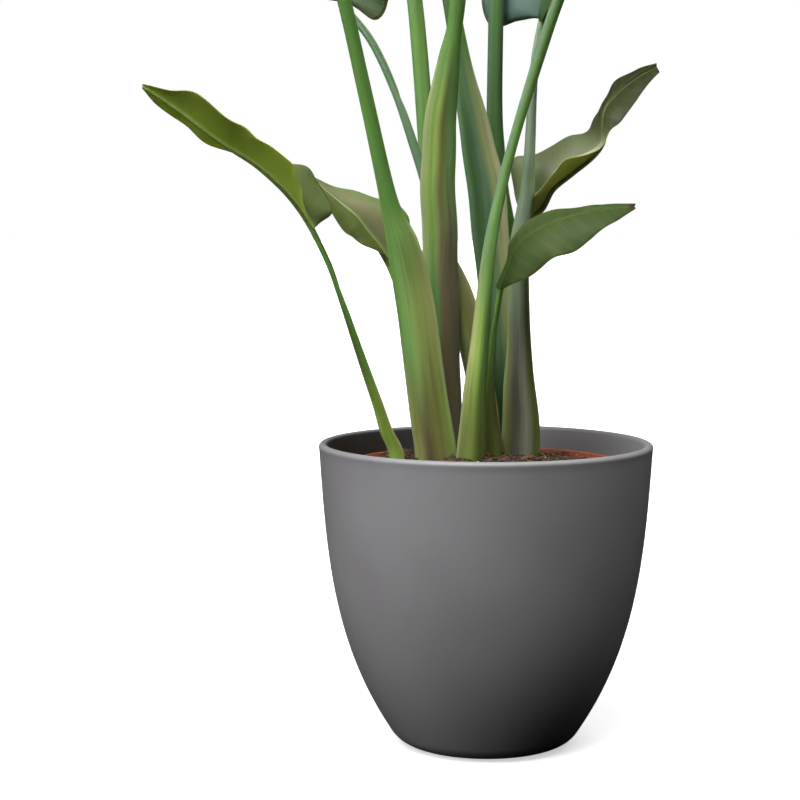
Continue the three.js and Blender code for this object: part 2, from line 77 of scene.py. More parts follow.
class Tone(Enum):
    """The plant's colours, by a painter's names."""

    GRASS = "#6b9b4c"
    LEAF = "#7fae5c"
    SPRING = "#9cbd5c"
    LIME = "#93b03a"
    APPLE = "#b7cb88"
    SAGE = "#93a56f"
    OLIVE = "#888c4e"
    MOSS = "#626f33"
    PINE = "#5b8150"
    TEAL = "#7a9c78"
    PEWTER = "#8fa686"
    SLATE = "#848674"
    PLUM = "#75684f"
    UMBER = "#4a3d2e"
    BRONZE = "#8d7d4c"
    CREAM = "#d6cda4"
    BLUSH = "#b8a07e"
    STRAW = "#c3c07c"
    KHAKI = "#a3a078"
    BOTTLE = "#3f5f38"
    FERN = "#74873a"
    MIST = "#8a9c74"
    MEADOW = "#8db868"
    IVY = "#546a2c"
    YEW = "#4f603c"
    CLAY = "#8a8a62"
    WILLOW = "#b4be84"
    LOAM = "#5e5638"
    FOG = "#7b8e78"
    BRAKE = "#43552a"
    SPROUT = "#a4d484"
    HEATH = "#8a7f66"
    REED = "#8fae62"
    SEDGE = "#a6b66a"
    FROND = "#72a062"
    FJORD = "#7f9c92"
    SHALE = "#57564a"
    OLIVET = "#7c922d"
    BRACKEN = "#6c7b48"
    # PALE is used as painted light on a small leaf's shaded under face and rib
    PALE = "#d0d8a0"
    # CITRON is a brightened olive used as painted light on a shaded small leaf
    CITRON = "#a8c24e"
    HEMP = "#717b56"
    DUSK = "#49522f"

    @property
    def colour(self) -> Colour:
        """The tone as a linear colour."""
        return linear(self.value)


Tones = tuple[Tone, ...]


# ---------------------------------------------------------------- numbers and curves


def smoothstep(value: Array) -> Array:
    """Runs from 0 to 1 with level ends: the square of the value times three less twice the value."""
    x = np.clip(value, 0, 1)
    return x * x * (3 - 2 * x)


def unit(vectors: Array) -> Array:
    """Vectors divided by their own lengths."""
    return vectors / np.maximum(np.linalg.norm(vectors, axis=-1, keepdims=True), 1e-12)


def around(count: int) -> Array:
    """Angles in radians that share out a full turn."""
    return np.arange(count) / count * 2 * np.pi


def lengths(line: Array) -> Array:
    """The lengths of the steps along a line of points."""
    return np.linalg.norm(np.diff(line, axis=0), axis=1)


def through(rows: Rows | Array, t: Array) -> Array:
    """A smooth line through rows of numbers, row by row at whole values of t.

    Between two rows each column follows the cubic whose slope at a row is half the step between the
    rows beside it.

    Args:
        rows: the rows to pass through.
        t: where to read the line, from 0 to the number of rows less one.

    Returns:
        One row of numbers for each value of t.
    """
    table = np.asarray(rows, float)
    last = len(table) - 1
    i = np.clip(np.floor(t).astype(int), 0, last - 1)
    f = (t - i)[..., None]
    a = table[i]
    b = table[i + 1]
    slope_a = np.where((i > 0)[..., None], (b - table[np.maximum(i - 1, 0)]) / 2, b - a)
    slope_b = np.where((i + 2 <= last)[..., None], (table[np.minimum(i + 2, last)] - a) / 2, b - a)
    square = f * f
    cube = square * f
    return (a * (2 * cube - 3 * square + 1) + slope_a * (cube - 2 * square + f)
            + b * (3 * square - 2 * cube) + slope_b * (cube - square))


def swell(points: Array, wavelength: float, seed: int, waves: int = 7) -> Array:
    """Smooth unevenness: a sum of sine waves over the root of their number, each in a seeded direction.

    Args:
        points: places in millimetres, with the coordinates last.
        wavelength: the mean distance between two crests, in millimetres.
        seed: the start of the random draws.
        waves: how many sine waves are summed.

    Returns:
        A value for each place, mostly between -1 and 1.
    """
    draw = np.random.default_rng(seed)
    ways = unit(draw.normal(size=(waves, points.shape[-1])))
    pitch = 2 * np.pi / (wavelength * draw.uniform(0.7, 1.4, waves))
    phase = draw.uniform(0, 2 * np.pi, waves)
    return np.sin((points @ ways.T) * pitch + phase).sum(-1) / math.sqrt(waves)


# ---------------------------------------------------------------- surfaces


@dataclass
class Surface:
    """A mesh being worked out: its points, its faces by number of corners, and point attributes."""

    points: Array
    faces: list[Array]
    attributes: dict[str, Array] = field(default_factory=dict)

    def build(self, name: str, material: bpy.types.Material, node: str, replaces: bool = True) -> None:
        """Makes the Blender object, in metres and smooth, and lets it ride on the part's body.

        Args:
            name: the object's name.
            material: its one material.
            node: the CAD node it goes with, which is hidden when the object replaces it.
            replaces: whether it also stands for that node.
        """
        mesh = bpy.data.meshes.new(name)
        corners = np.concatenate([f.ravel() for f in self.faces])
        sizes = np.concatenate([np.full(len(f), f.shape[1]) for f in self.faces])
        mesh.vertices.add(len(self.points))
        mesh.vertices.foreach_set("co", (self.points * MM).astype(np.float32).ravel())
        mesh.loops.add(len(corners))
        mesh.loops.foreach_set("vertex_index", corners.astype(np.int32))
        mesh.polygons.add(len(sizes))
        starts = np.concatenate([[0], np.cumsum(sizes)[:-1]])
        mesh.polygons.foreach_set("loop_start", starts.astype(np.int32))
        mesh.update(calc_edges=True)
        mesh.polygons.foreach_set("use_smooth", np.ones(len(sizes), bool))
        for key, value in self.attributes.items():
            layer = mesh.attributes.new(key, "FLOAT_VECTOR", "POINT")
            layer.data.foreach_set("vector", value.astype(np.float32).ravel())
        mesh.materials.append(material)
        made = bpy.data.objects.new(name, mesh)
        bpy.context.scene.collection.objects.link(made)
        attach(made, BODY)
        if replaces:
            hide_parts(node)
        LOG.info("%s: %d points, %d faces", name, len(self.points), len(sizes))


def quads(rows: int, columns: int, wrapped: bool) -> Array:
    """The quads of a grid of points, each turning from its row to the next column.

    Args:
        rows: how many rows the grid has.
        columns: how many points a row has.
        wrapped: whether the last column joins the first.

    Returns:
        The corner numbers of every quad.
    """
    steps = columns if wrapped else columns - 1
    i, j = np.meshgrid(np.arange(rows - 1), np.arange(steps), indexing="ij")
    right = (j + 1) % columns
    corners = [i * columns + j, i * columns + right, (i + 1) * columns + right, (i + 1) * columns + j]
    return np.stack(corners, -1).reshape(-1, 4)


def fan(ring: Array, centre: int) -> Array:
    """Triangles from a centre point to each side of a ring of points."""
    return np.stack([np.full(len(ring), centre), ring, np.roll(ring, -1)], -1)


def tube(rings: Array, attributes: dict[str, Array]) -> Surface:
    """A closed body through rings of points, with a fan of triangles over each end.

    Args:
        rings: points in the order ring, side, coordinate, anticlockwise as seen from the far end.
        attributes: vector attributes in the same order.

    Returns:
        The closed surface.
    """
    count, sides = rings.shape[:2]
    ends = np.stack([rings[0].mean(0), rings[-1].mean(0)])
    first = np.arange(sides)
    last = first + (count - 1) * sides
    faces = [quads(count, sides, True), fan(first[::-1], count * sides), fan(last, count * sides + 1)]
    full = {key: np.concatenate([value.reshape(-1, 3), value[0].mean(0)[None], value[-1].mean(0)[None]])
            for key, value in attributes.items()}
    return Surface(np.concatenate([rings.reshape(-1, 3), ends]), faces, full)


def shell(top: Array, under: Array, attributes: Callable[[float], dict[str, Array]]) -> Surface:
    """A closed thin sheet between two grids of points that are joined along their rims.

    Args:
        top: the upper grid, in the order row, column, coordinate.
        under: the lower grid, of the same size.
        attributes: gives the vector attributes of the upper grid for 1 and of the lower one for 0.

    Returns:
        The closed surface.
    """
    rows, columns = top.shape[:2]
    under_start = rows * columns
    face = quads(rows, columns, False)
    index = np.arange(under_start).reshape(rows, columns)
    rim = np.concatenate([index[0, :-1], index[:-1, -1], index[-1, :0:-1], index[:0:-1, 0]])
    beside = np.roll(rim, -1)
    edge = np.stack([rim, beside, beside + under_start, rim + under_start], -1)
    upper = attributes(1.0)
    lower = attributes(0.0)
    joined = {key: np.concatenate([upper[key].reshape(-1, 3), lower[key].reshape(-1, 3)]) for key in upper}
    return Surface(np.concatenate([top.reshape(-1, 3), under.reshape(-1, 3)]),
                   [face[:, ::-1], face + under_start, edge], joined)


def turned(profile: Array, segments: int) -> Surface:
    """A body turned about the Z axis.

    Every profile point becomes a ring, at its radius times the cosine and sine of the angle.

    Args:
        profile: rows of radius and height, from the foot outside and back inside.
        segments: the number of sides round the axis.

    Returns:
        The closed surface, with no attributes.
    """
    angle = around(segments)
    radius, height = profile.T[..., None]
    return tube(np.stack([radius * np.cos(angle), radius * np.sin(angle), height + angle * 0], -1), {})


def arc(centre: tuple[float, float], radius: float, start: float, end: float, steps: int) -> Array:
    """Points on an arc: the centre plus the radius times the cosine and sine of angles in degrees."""
    angle = np.radians(np.linspace(start, end, steps + 1))
    return np.stack([centre[0] + radius * np.cos(angle), centre[1] + radius * np.sin(angle)], -1)


# ---------------------------------------------------------------- shader maths


Value = "Wire | float"


class Wire:
    """A shader socket that adds Math nodes when it is used in a Python expression."""

    def __init__(self, shader: "Shader", socket: bpy.types.NodeSocket) -> None:
        """Keeps the shader that the socket belongs to."""
        self.shader = shader
        self.socket = socket

    def maths(self, operation: str, *others: Value) -> "Wire":
        """Adds a Math node, with this socket first.

        Args:
            operation: the Math node's operation.
            others: its further values.

        Returns:
            The node's result.
        """
        values = dict(enumerate([self, *others]))
        return self.shader.node("ShaderNodeMath", {"operation": operation}, values)

    def reflected(self, operation: str, other: Value) -> "Wire":
        """Adds a Math node with the other value first and this socket second."""
        return self.shader.node("ShaderNodeMath", {"operation": operation}, {0: other, 1: self})

    def __add__(self, other: Value) -> "Wire":
        """The sum."""
        return self.maths("ADD", other)

    def __sub__(self, other: Value) -> "Wire":
        """The difference."""
        return self.maths("SUBTRACT", other)

    def __rsub__(self, other: Value) -> "Wire":
        """The difference, the other way round."""
        return self.reflected("SUBTRACT", other)

    def __mul__(self, other: Value) -> "Wire":
        """The product."""
        return self.maths("MULTIPLY", other)

    def __pow__(self, other: Value) -> "Wire":
        """The power."""
        return self.maths("POWER", other)

    def __abs__(self) -> "Wire":
        """The size without its sign."""
        return self.maths("ABSOLUTE")

    __radd__ = __add__
    __rmul__ = __mul__

    def sine(self) -> "Wire":
        """The sine, of radians."""
        return self.maths("SINE")

    def between(self, low: float, high: float) -> "Wire":
        """A smooth step that is 0 at low and 1 at high."""
        return self.shader.node("ShaderNodeMapRange", {"interpolation_type": "SMOOTHSTEP"},
                                {"Value": self, "From Min": low, "From Max": high})


class Shader:
    """A material being built round one Principled shader."""

    def __init__(self, name: str) -> None:
        """Starts the material.

        Args:
            name: the material's name.
        """
        self.material = bpy.data.materials.new(name)
        self.material.use_nodes = True
        self.tree = self.material.node_tree
        self.surface = self.tree.nodes["Principled BSDF"]

    def node(self, kind: str, settings: dict[str, object] | None = None,
             values: dict[int | str, object] | None = None, output: int | str = 0) -> Wire:
        """Adds a node.

        Args:
            kind: the node's type.
            settings: its own settings, and the stops of a ramp.
            values: a number, colour or wire for its input sockets, by index or name.
            output: which output is wanted.

        Returns:
            That output.
        """
        made = self.tree.nodes.new(kind)
        for key, value in (settings or {}).items():
            if key == "stops":
                self._set_stops(made.color_ramp, value)
            else:
                setattr(made, key, value)
        for key, value in (values or {}).items():
            self.plug(made.inputs[key], value)
        return Wire(self, made.outputs[output])

    def plug(self, socket: bpy.types.NodeSocket, value: object) -> None:
        """Links a wire to an input socket, or sets the socket's own value.

        Args:
            socket: the input socket.
            value: a wire, or a number or colour.
        """
        if isinstance(value, Wire):
            self.tree.links.new(value.socket, socket)
        else:
            socket.default_value = value

    @staticmethod
    def _set_stops(ramp: bpy.types.ColorRamp, stops: list[tuple[float, Colour]]) -> None:
        """Gives a ramp its stops.

        Args:
            ramp: the ramp.
            stops: places and colours, in order of place.
        """
        ramp.interpolation = "EASE"
        while len(ramp.elements) > 1:
            ramp.elements.remove(ramp.elements[-1])
        ramp.elements[0].position = stops[0][0]
        ramp.elements[0].color = stops[0][1]
        for place, colour in stops[1:]:
            ramp.elements.new(place).color = colour

    def attribute(self, name: str) -> tuple[Wire, Wire, Wire]:
        """The three parts of a vector attribute of the mesh."""
        return self.parts(self.vector(name))

    def parts(self, vector: Wire) -> tuple[Wire, Wire, Wire]:
        """The three parts of a vector."""
        return tuple(self.node("ShaderNodeSeparateXYZ", None, {0: vector}, k) for k in range(3))

    def vector(self, name: str) -> Wire:
        """A whole vector attribute of the mesh."""
        return self.node("ShaderNodeAttribute", {"attribute_name": name}, output="Vector")

    def place(self) -> Wire:
        """Object coordinates."""
        return self.node("ShaderNodeTexCoord", output="Object")

    def noise(self, vector: Wire, scale: float, detail: float = 3.0, rough: float = 0.55) -> Wire:
        """Smooth noise from 0 to 1 at a place.

        Args:
            vector: the place.
            scale: cells in a unit of length.
            detail: how many finer layers are added.
            rough: how strong each finer layer is.

        Returns:
            The noise value.
        """
        return self.node("ShaderNodeTexNoise", None,
                         {"Vector": vector, "Scale": scale, "Detail": detail, "Roughness": rough})

    def cells(self, vector: Wire, scale: float) -> Wire:
        """The distance to the nearest of scattered points, at a place."""
        return self.node("ShaderNodeTexVoronoi", None, {"Vector": vector, "Scale": scale})

    def bands(self, value: Wire, tones: Tones) -> Wire:
        """Colours along a value from 0 to 1, one tone running into the next at even steps."""
        stops = [(k / max(1, len(tones) - 1), tone.colour) for k, tone in enumerate(tones)]
        return self.node("ShaderNodeValToRGB", {"stops": stops}, {0: value})

    def mix(self, factor: Value, first: object, second: object, blend: str = "MIX") -> Wire:
        """Mixes two colours.

        Args:
            factor: the share of the second colour.
            first: a colour or a wire.
            second: a colour or a wire.
            blend: how the second is laid over the first.

        Returns:
            The mixed colour.
        """
        return self.node("ShaderNodeMix", {"data_type": "RGBA", "blend_type": blend},
                         {0: factor, 6: first, 7: second}, output=2)

    def bump(self, height: Wire, distance: float, strength: float) -> Wire:
        """A normal that follows a height between 0 and 1, which stands for a distance in metres."""
        values = {"Height": height, "Distance": distance, "Strength": strength}
        return self.node("ShaderNodeBump", None, values)

    def finish(self, **sockets: object) -> bpy.types.Material:
        """Sets the Principled shader's sockets.

        Args:
            sockets: values by socket name, with underscores for spaces.

        Returns:
            The finished material.
        """
        for key, value in sockets.items():
            self.plug(self.surface.inputs[key.replace("_", " ")], value)
        return self.material


# ---------------------------------------------------------------- finishes


@dataclass(frozen=True)
class MattePot:
    """Smooth matte grey, faintly mottled, with the finest grain that still catches light.

    Scales are cells in a metre. The inner wall is told from the outer one by its radius and height, and goes
    from painted shade on the left to painted light on the right, each between two places in metres.
    """

    body: str = "#8c8b8d"
    worn: str = "#98979a"
    shade: str = "#868486"
    shaded_inner_wall: str = "#343231"
    lit_inner_wall: str = "#96969a"
    cloud_scale: float = 9.0
    grain_scale: float = 1400.0
    grain_height: float = 0.00012
    speck_scale: float = 420.0
    speck_share: float = 0.25
    inner_radius: tuple[float, float] = (0.1345, 0.1325)
    inner_height: tuple[float, float] = (0.20, 0.22)
    left_to_right: tuple[float, float] = (-0.07, 0.05)
    inner_wall_shade_share: float = 0.85
    roughness: float = 0.36

    def material(self) -> bpy.types.Material:
        """Builds the material.

        Returns:
            A grey that drifts a little from place to place, under a soft powdery bump, with painted shade
            and light on the inner wall.
        """
        shader = Shader("matte_grey")
        place = shader.place()
        cloud = shader.noise(place, self.cloud_scale, 4.0, 0.5)
        grain = shader.noise(place, self.grain_scale, 2.0)
        specks = shader.cells(place, self.speck_scale).between(0.16, 0.05)
        grey = shader.mix(cloud.between(0.35, 0.65), linear(self.shade), linear(self.body))
        grey = shader.mix(specks * self.speck_share, grey, linear(self.worn))
        x, y, z = shader.parts(place)
        radius = (x * x + y * y) ** 0.5
        inside = radius.between(*self.inner_radius) * z.between(*self.inner_height)
        # painted shade on the left of the inner wall, running to painted light on its right
        wall = shader.mix(x.between(*self.left_to_right), linear(self.shaded_inner_wall), linear(self.lit_inner_wall))
        return shader.finish(
            Base_Color=shader.mix(inside * self.inner_wall_shade_share, grey, wall),
            Roughness=cloud * 0.10 + grain * 0.06 + self.roughness,
            Normal=shader.bump(grain, self.grain_height, 0.5),
            Specular_IOR_Level=0.5,
        )


@dataclass(frozen=True)
class GrowingPotPlastic:
    """Terracotta-coloured plastic with soil dust on it."""

    body: str = "#c4623f"
    faded: str = "#cf7a58"
    dust: str = "#4b372a"
    cloud_scale: float = 25.0
    dirt_scale: float = 160.0
    dirt_share: float = 0.75
    grain_scale: float = 900.0
    grain_height: float = 0.0001
    roughness: float = 0.48

    def material(self) -> bpy.types.Material:
        """Builds the material.

        Returns:
            A warm plastic, smudged with dust.
        """
        shader = Shader("growing_pot_plastic")
        place = shader.place()
        cloud = shader.noise(place, self.cloud_scale)
        dirt = shader.noise(place, self.dirt_scale, 5.0, 0.7).between(0.56, 0.70)
        grain = shader.noise(place, self.grain_scale, 2.0)
        clay = shader.mix(cloud, linear(self.body), linear(self.faded))
        return shader.finish(
            Base_Color=shader.mix(dirt * self.dirt_share, clay, linear(self.dust)),
            Roughness=dirt * 0.3 + self.roughness,
            Normal=shader.bump(grain, self.grain_height, 0.4),
        )


@dataclass(frozen=True)
class Earth:
    """Moist dark soil, or the crumbs, bark and grains in it."""

    name: str
    dark: str
    light: str
    scale: float = 220.0
    finer: float = 4.0
    crumb_height: float = 0.0006
    roughness: float = 0.85

    def material(self) -> bpy.types.Material:
        """Builds the material.

        Returns:
            Two tones in small patches over a crumbly bump.
        """
        shader = Shader(self.name)
        place = shader.place()
        patches = shader.noise(place, self.scale, 5.0, 0.65)
        crumbs = shader.noise(place, self.scale * self.finer, 3.0, 0.7)
        return shader.finish(
            Base_Color=shader.mix(patches.between(0.35, 0.7), linear(self.dark), linear(self.light)),
            Roughness=self.roughness,
            Normal=shader.bump(crumbs, self.crumb_height, 0.9),
        )


@dataclass(frozen=True)
class StalkFinish:
    """The tones across a stalk from its left edge to its right, at three heights.

    upper is above the sheath, sheath where it is open, and foot below foot_top, which the colours cross
    between foot_blend above and below it (millimetres). edge is the sheath's free margin, and rib the
    part that runs on under the blade. Scales are cells in a metre. The tones are partly the stalk's own
    colour and partly painted light and shade: lighter tones on sides the lamps leave dark, darker ones
    where other leaves shade the stalk.
    """

    upper: Tones
    sheath: Tones
    foot: Tones
    foot_top: float = 330.0
    foot_blend: tuple[float, float] = (55.0, -45.0)
    edge: Tone = Tone.CREAM
    edge_share: float = 0.8
    rib: Tone = Tone.SPRING
    drift_scale: float = 130.0
    fibre_scale: float = 520.0
    pale_fibres: float = 0.275
    dark_fibres: float = 0.25
    speck_scale: float = 260.0
    speck_share: float = 0.35
    rib_scale: float = 1100.0
    rib_height: float = 0.00025

    def material(self, name: str) -> bpy.types.Material:
        """Builds the material.

        The three rows of tones are mixed by height, darker and lighter fibres run along the stalk, the
        sheath's free margin is pale, and fine ribs follow the stalk.

        Args:
            name: the material's name.

        Returns:
            The stalk's material.
        """
        shader = Shader(name)
        across, height, openness = shader.attribute("zone")
        margin, warm, under_blade = shader.attribute("edge")
        grain = shader.vector("grain")
        drift = shader.noise(grain, self.drift_scale) - 0.5
        shifted = across + drift * 0.16
        above, below = ((self.foot_top + blend) * MM for blend in self.foot_blend)
        low = (height + drift * 0.12).between(above, below)
        green = shader.mix(openness, shader.bands(shifted, self.upper), shader.bands(shifted, self.sheath))
        green = shader.mix(low, green, shader.bands(shifted, self.foot))
        fibre = shader.noise(grain, self.fibre_scale, 4.0, 0.6)
        pale = fibre.between(0.48, 0.72) * self.pale_fibres
        green = shader.mix(pale, green, Tone.CREAM.colour, "SOFT_LIGHT")
        green = shader.mix(fibre.between(0.50, 0.30) * self.dark_fibres, green, Tone.UMBER.colour)
        specks = shader.cells(shader.place(), self.speck_scale).between(0.14, 0.06)
        green = shader.mix(specks * warm * self.speck_share, green, Tone.UMBER.colour)
        green = shader.mix(margin * self.edge_share, green, self.edge.colour)
        green = shader.mix(under_blade, green, self.rib.colour)
        ribs = shader.noise(grain, self.rib_scale, 2.0)
        return shader.finish(
            Base_Color=green,
            Roughness=fibre * 0.2 + 0.36,
            Specular_IOR_Level=0.4,
            Subsurface_Weight=0.8,
            Subsurface_Radius=(1.0, 1.0, 0.5),
            Subsurface_Scale=0.010,
            Normal=shader.bump(ribs, self.rib_height, 0.55),
        )


@dataclass(frozen=True)
class HalfTones:
    """The tones of one half of a blade: its upper face, its lower face, near its margin and at its foot."""

    upper: Tone = Tone.BOTTLE
    lower: Tone = Tone.MIST
    rim: Tone = Tone.PINE
    foot: Tone | None = None


@dataclass(frozen=True)
class BladeFinish:
    """The colours of a blade, with its side veins, pale midrib and thin pale margin.

    Shares of the length and the half width are 0 at the foot and the midrib. The veins' pitches, close
    and wide, are in metres.
    """

    left: HalfTones = HalfTones()
    right: HalfTones = HalfTones()
    midrib: Tone = Tone.SPRING
    rim_share: float = 0.35
    dry_tip: float = 0.0
    gloss: float = 0.45
    foot_reach: tuple[float, float] = (0.62, 0.40)
    cloud_scale: float = 38.0
    close_veins: float = 0.0029
    wide_veins: float = 0.0105
    vein_share: float = 0.1
    vein_height: float = 0.00006
    uneven_scale: float = 110.0
    margin_from: float = 0.965

    def material(self, name: str) -> bpy.types.Material:
        """Builds the material.

        The side veins are sine waves of the vein coordinate, close ones under wider ones, and show as
        lighter lines and as a fine relief.

        Args:
            name: the material's name.

        Returns:
            The blade's material.
        """
        shader = Shader(name)
        along, across, _ = shader.attribute("span")
        vein, ribbed, face = shader.attribute("vein")
        is_left = (across * 60).between(-1, 1)
        reach = abs(across)
        left, right = self.left, self.right
        upper = shader.mix(is_left, right.upper.colour, left.upper.colour)
        lower = shader.mix(is_left, right.lower.colour, left.lower.colour)
        rim = shader.mix(is_left, right.rim.colour, left.rim.colour)
        green = shader.mix(face.between(0.2, 0.8), lower, upper)
        cloud = shader.noise(shader.place(), self.cloud_scale)
        outer = (reach + (cloud - 0.5) * 0.5).between(0.45, 1.0)
        green = shader.mix(outer * self.rim_share, green, rim)
        green = shader.mix(cloud.between(0.45, 0.8) * 0.25, green, Tone.MOSS.colour)
        for half, share in ((left, is_left), (right, 1 - is_left)):
            if half.foot:
                green = shader.mix(share * along.between(*self.foot_reach), green, half.foot.colour)
        close, wide = ((vein * (2 * math.pi / pitch)).sine() * 0.5 + 0.5
                       for pitch in (self.close_veins, self.wide_veins))
        relief = (close * 0.5 + wide ** 3.0 * 0.5) * along.between(1.0, 0.85)
        uneven = shader.noise(shader.place(), self.uneven_scale)
        green = shader.mix(relief * uneven * self.vein_share, green, Tone.APPLE.colour)
        green = shader.mix(reach.between(self.margin_from, 1.0) * 0.55, green, Tone.STRAW.colour)
        green = shader.mix(ribbed, green, self.midrib.colour)
        if self.dry_tip:
            dry = (along + (cloud - 0.5) * 0.02).between(1 - self.dry_tip, 1 - self.dry_tip * 0.55)
            green = shader.mix(dry, green, Tone.UMBER.colour)
        return shader.finish(
            Base_Color=green,
            Roughness=cloud * 0.12 + face * -0.08 + 0.42,
            Subsurface_Weight=0.45,
            Subsurface_Radius=(1.0, 1.0, 0.65),
            Subsurface_Scale=0.003,
            Specular_IOR_Level=self.gloss,
            Normal=shader.bump(relief, self.vein_height, 0.6),
        )


# ---------------------------------------------------------------- the pots


@dataclass
class OuterPot:
    """The grey outer pot.

    Its radius narrows from the rim to the foot as rim_radius times one less taper times t less belly
    times t to the belly_power, where t is 0 at the rim and 1 at the floor. Between wall_foot and the rim
    outside, and inner_wall_foot and the rim inside, the profile follows that line.
    """

    height: float = 255.0
    rim_radius: float = 140.0
    wall: float = 7.5
    floor: float = 9.0
    taper: float = 0.12
    belly: float = 0.37
    belly_power: float = 3.3
    flat_radii: tuple[float, float] = (20.0, 44.0)
    foot_radius: float = 58.0
    inner_foot_radius: float = 56.0
    foot_rounding: float = 26.0
    foot_arc: float = 57.0
    wall_foot: float = 22.0
    inner_wall_foot: float = 30.0
    rim_bend: float = 3.4
    below_bend: float = 1.5
    segments: int = 192

    def radius(self, height: Array) -> Array:
        """The outer radius at heights, by the formula in the class's own words."""
        t = 1 - np.asarray(height, float) / self.height
        return self.rim_radius * (1 - self.taper * t - self.belly * t ** self.belly_power)

    def profile(self) -> Array:
        """Works out the pot's section.

        Returns:
            The turned profile, from the foot outside, over the rim and back inside.
        """
        bend = self.rim_bend
        top = self.height - bend
        end = self.foot_arc - 90
        rounding = self.foot_rounding
        rise = np.linspace(self.wall_foot, top - self.below_bend, 44)
        fall = np.linspace(top - self.below_bend, self.inner_wall_foot, 36)
        return np.concatenate([
            [[radius, 0.0] for radius in self.flat_radii],
            arc((self.foot_radius, rounding), rounding, -90, end, 12),
            np.stack([self.radius(rise), rise], -1),
            arc((self.rim_radius - bend, top), bend, 0, 90, 7),
            arc((self.rim_radius - self.wall + bend, top), bend, 90, 180, 7),
            np.stack([self.radius(fall) - self.wall, fall], -1),
            arc((self.inner_foot_radius, self.floor + rounding), rounding, end, -90, 6),
        ])

    def build(self) -> None:
        """Turns the pot and dresses it."""
        turned(self.profile(), self.segments).build("pot_shell", MattePot().material(), "outer_pot")


@dataclass
class NurseryPot:
    """The growing pot inside the outer one: a tapered wall with a collar and a rolled rim."""

    foot_height: float = 28.0
    foot_gap: float = 0.3
    foot_bevel: float = 1.5
    rim_height: float = 238.0
    wall_top_radius: float = 111.0
    rim_radius: float = 115.0
    collar: float = 9.0
    collar_bevel: float = 0.6
    wall: float = 1.8
    segments: int = 160

    def profile(self) -> Array:
        """Works out the pot's section, whose foot fits in the outer pot at its height.

        Returns:
            The turned profile, from the foot outside, over the rim and back inside.
        """
        low, wall, bevel = self.foot_height, self.wall, self.collar_bevel
        foot = float(OuterPot().radius(low)) - OuterPot().wall - self.foot_gap
        step = self.rim_height - self.collar
        lip = wall / 2
        up = np.linspace(0, 1, 14)[1:]
        outer = np.stack([foot + (self.wall_top_radius - foot) * up, low + (step - wall - low) * up], -1)
        return np.concatenate([
            [[foot * 0.5, low], [foot - self.foot_bevel, low], [foot, low + self.foot_bevel]],
            outer,
            [[self.rim_radius - bevel, step - 0.4], [self.rim_radius, step + bevel]],
            arc((self.rim_radius - lip, self.rim_height - lip), lip, 0, 180, 8),
            [[self.rim_radius - wall, step + wall + bevel], [self.rim_radius - wall - bevel, step + wall]],
            outer[::-1] - np.array([wall, -wall]),
            [[foot - wall - self.foot_bevel, low + wall]],
        ])

    def build(self) -> None:
        """Turns the pot and dresses it."""
        body = turned(self.profile(), self.segments)
        body.build("growing_pot", GrowingPotPlastic().material(), "nursery_pot")


# ---------------------------------------------------------------- the soil


@dataclass(frozen=True)
class Litter:
    """One kind of small lump that lies on the soil.

    sizes are the smallest and largest half length (millimetres), and flatness is width and thickness
    over length.
    """

    name: str
    count: int
    sizes: tuple[float, float]
    flatness: tuple[float, float]
    seed: int
    finish: Earth


LITTER = (
    Litter("soil_crumbs", 3000, (1.0, 3.4), (0.75, 0.6), 1, Earth("soil_crumb", "#1f1610", "#53402f", 90.0)),
    Litter("bark_bits", 620, (2.4, 6.5), (0.55, 0.28), 2, Earth("bark", "#3a2618", "#80583a", 60.0)),
    Litter("pale_grains", 90, (0.9, 2.0), (0.8, 0.7), 3, Earth("pale_grain", "#b9ad98", "#e6dfd0", 120.0)),
)


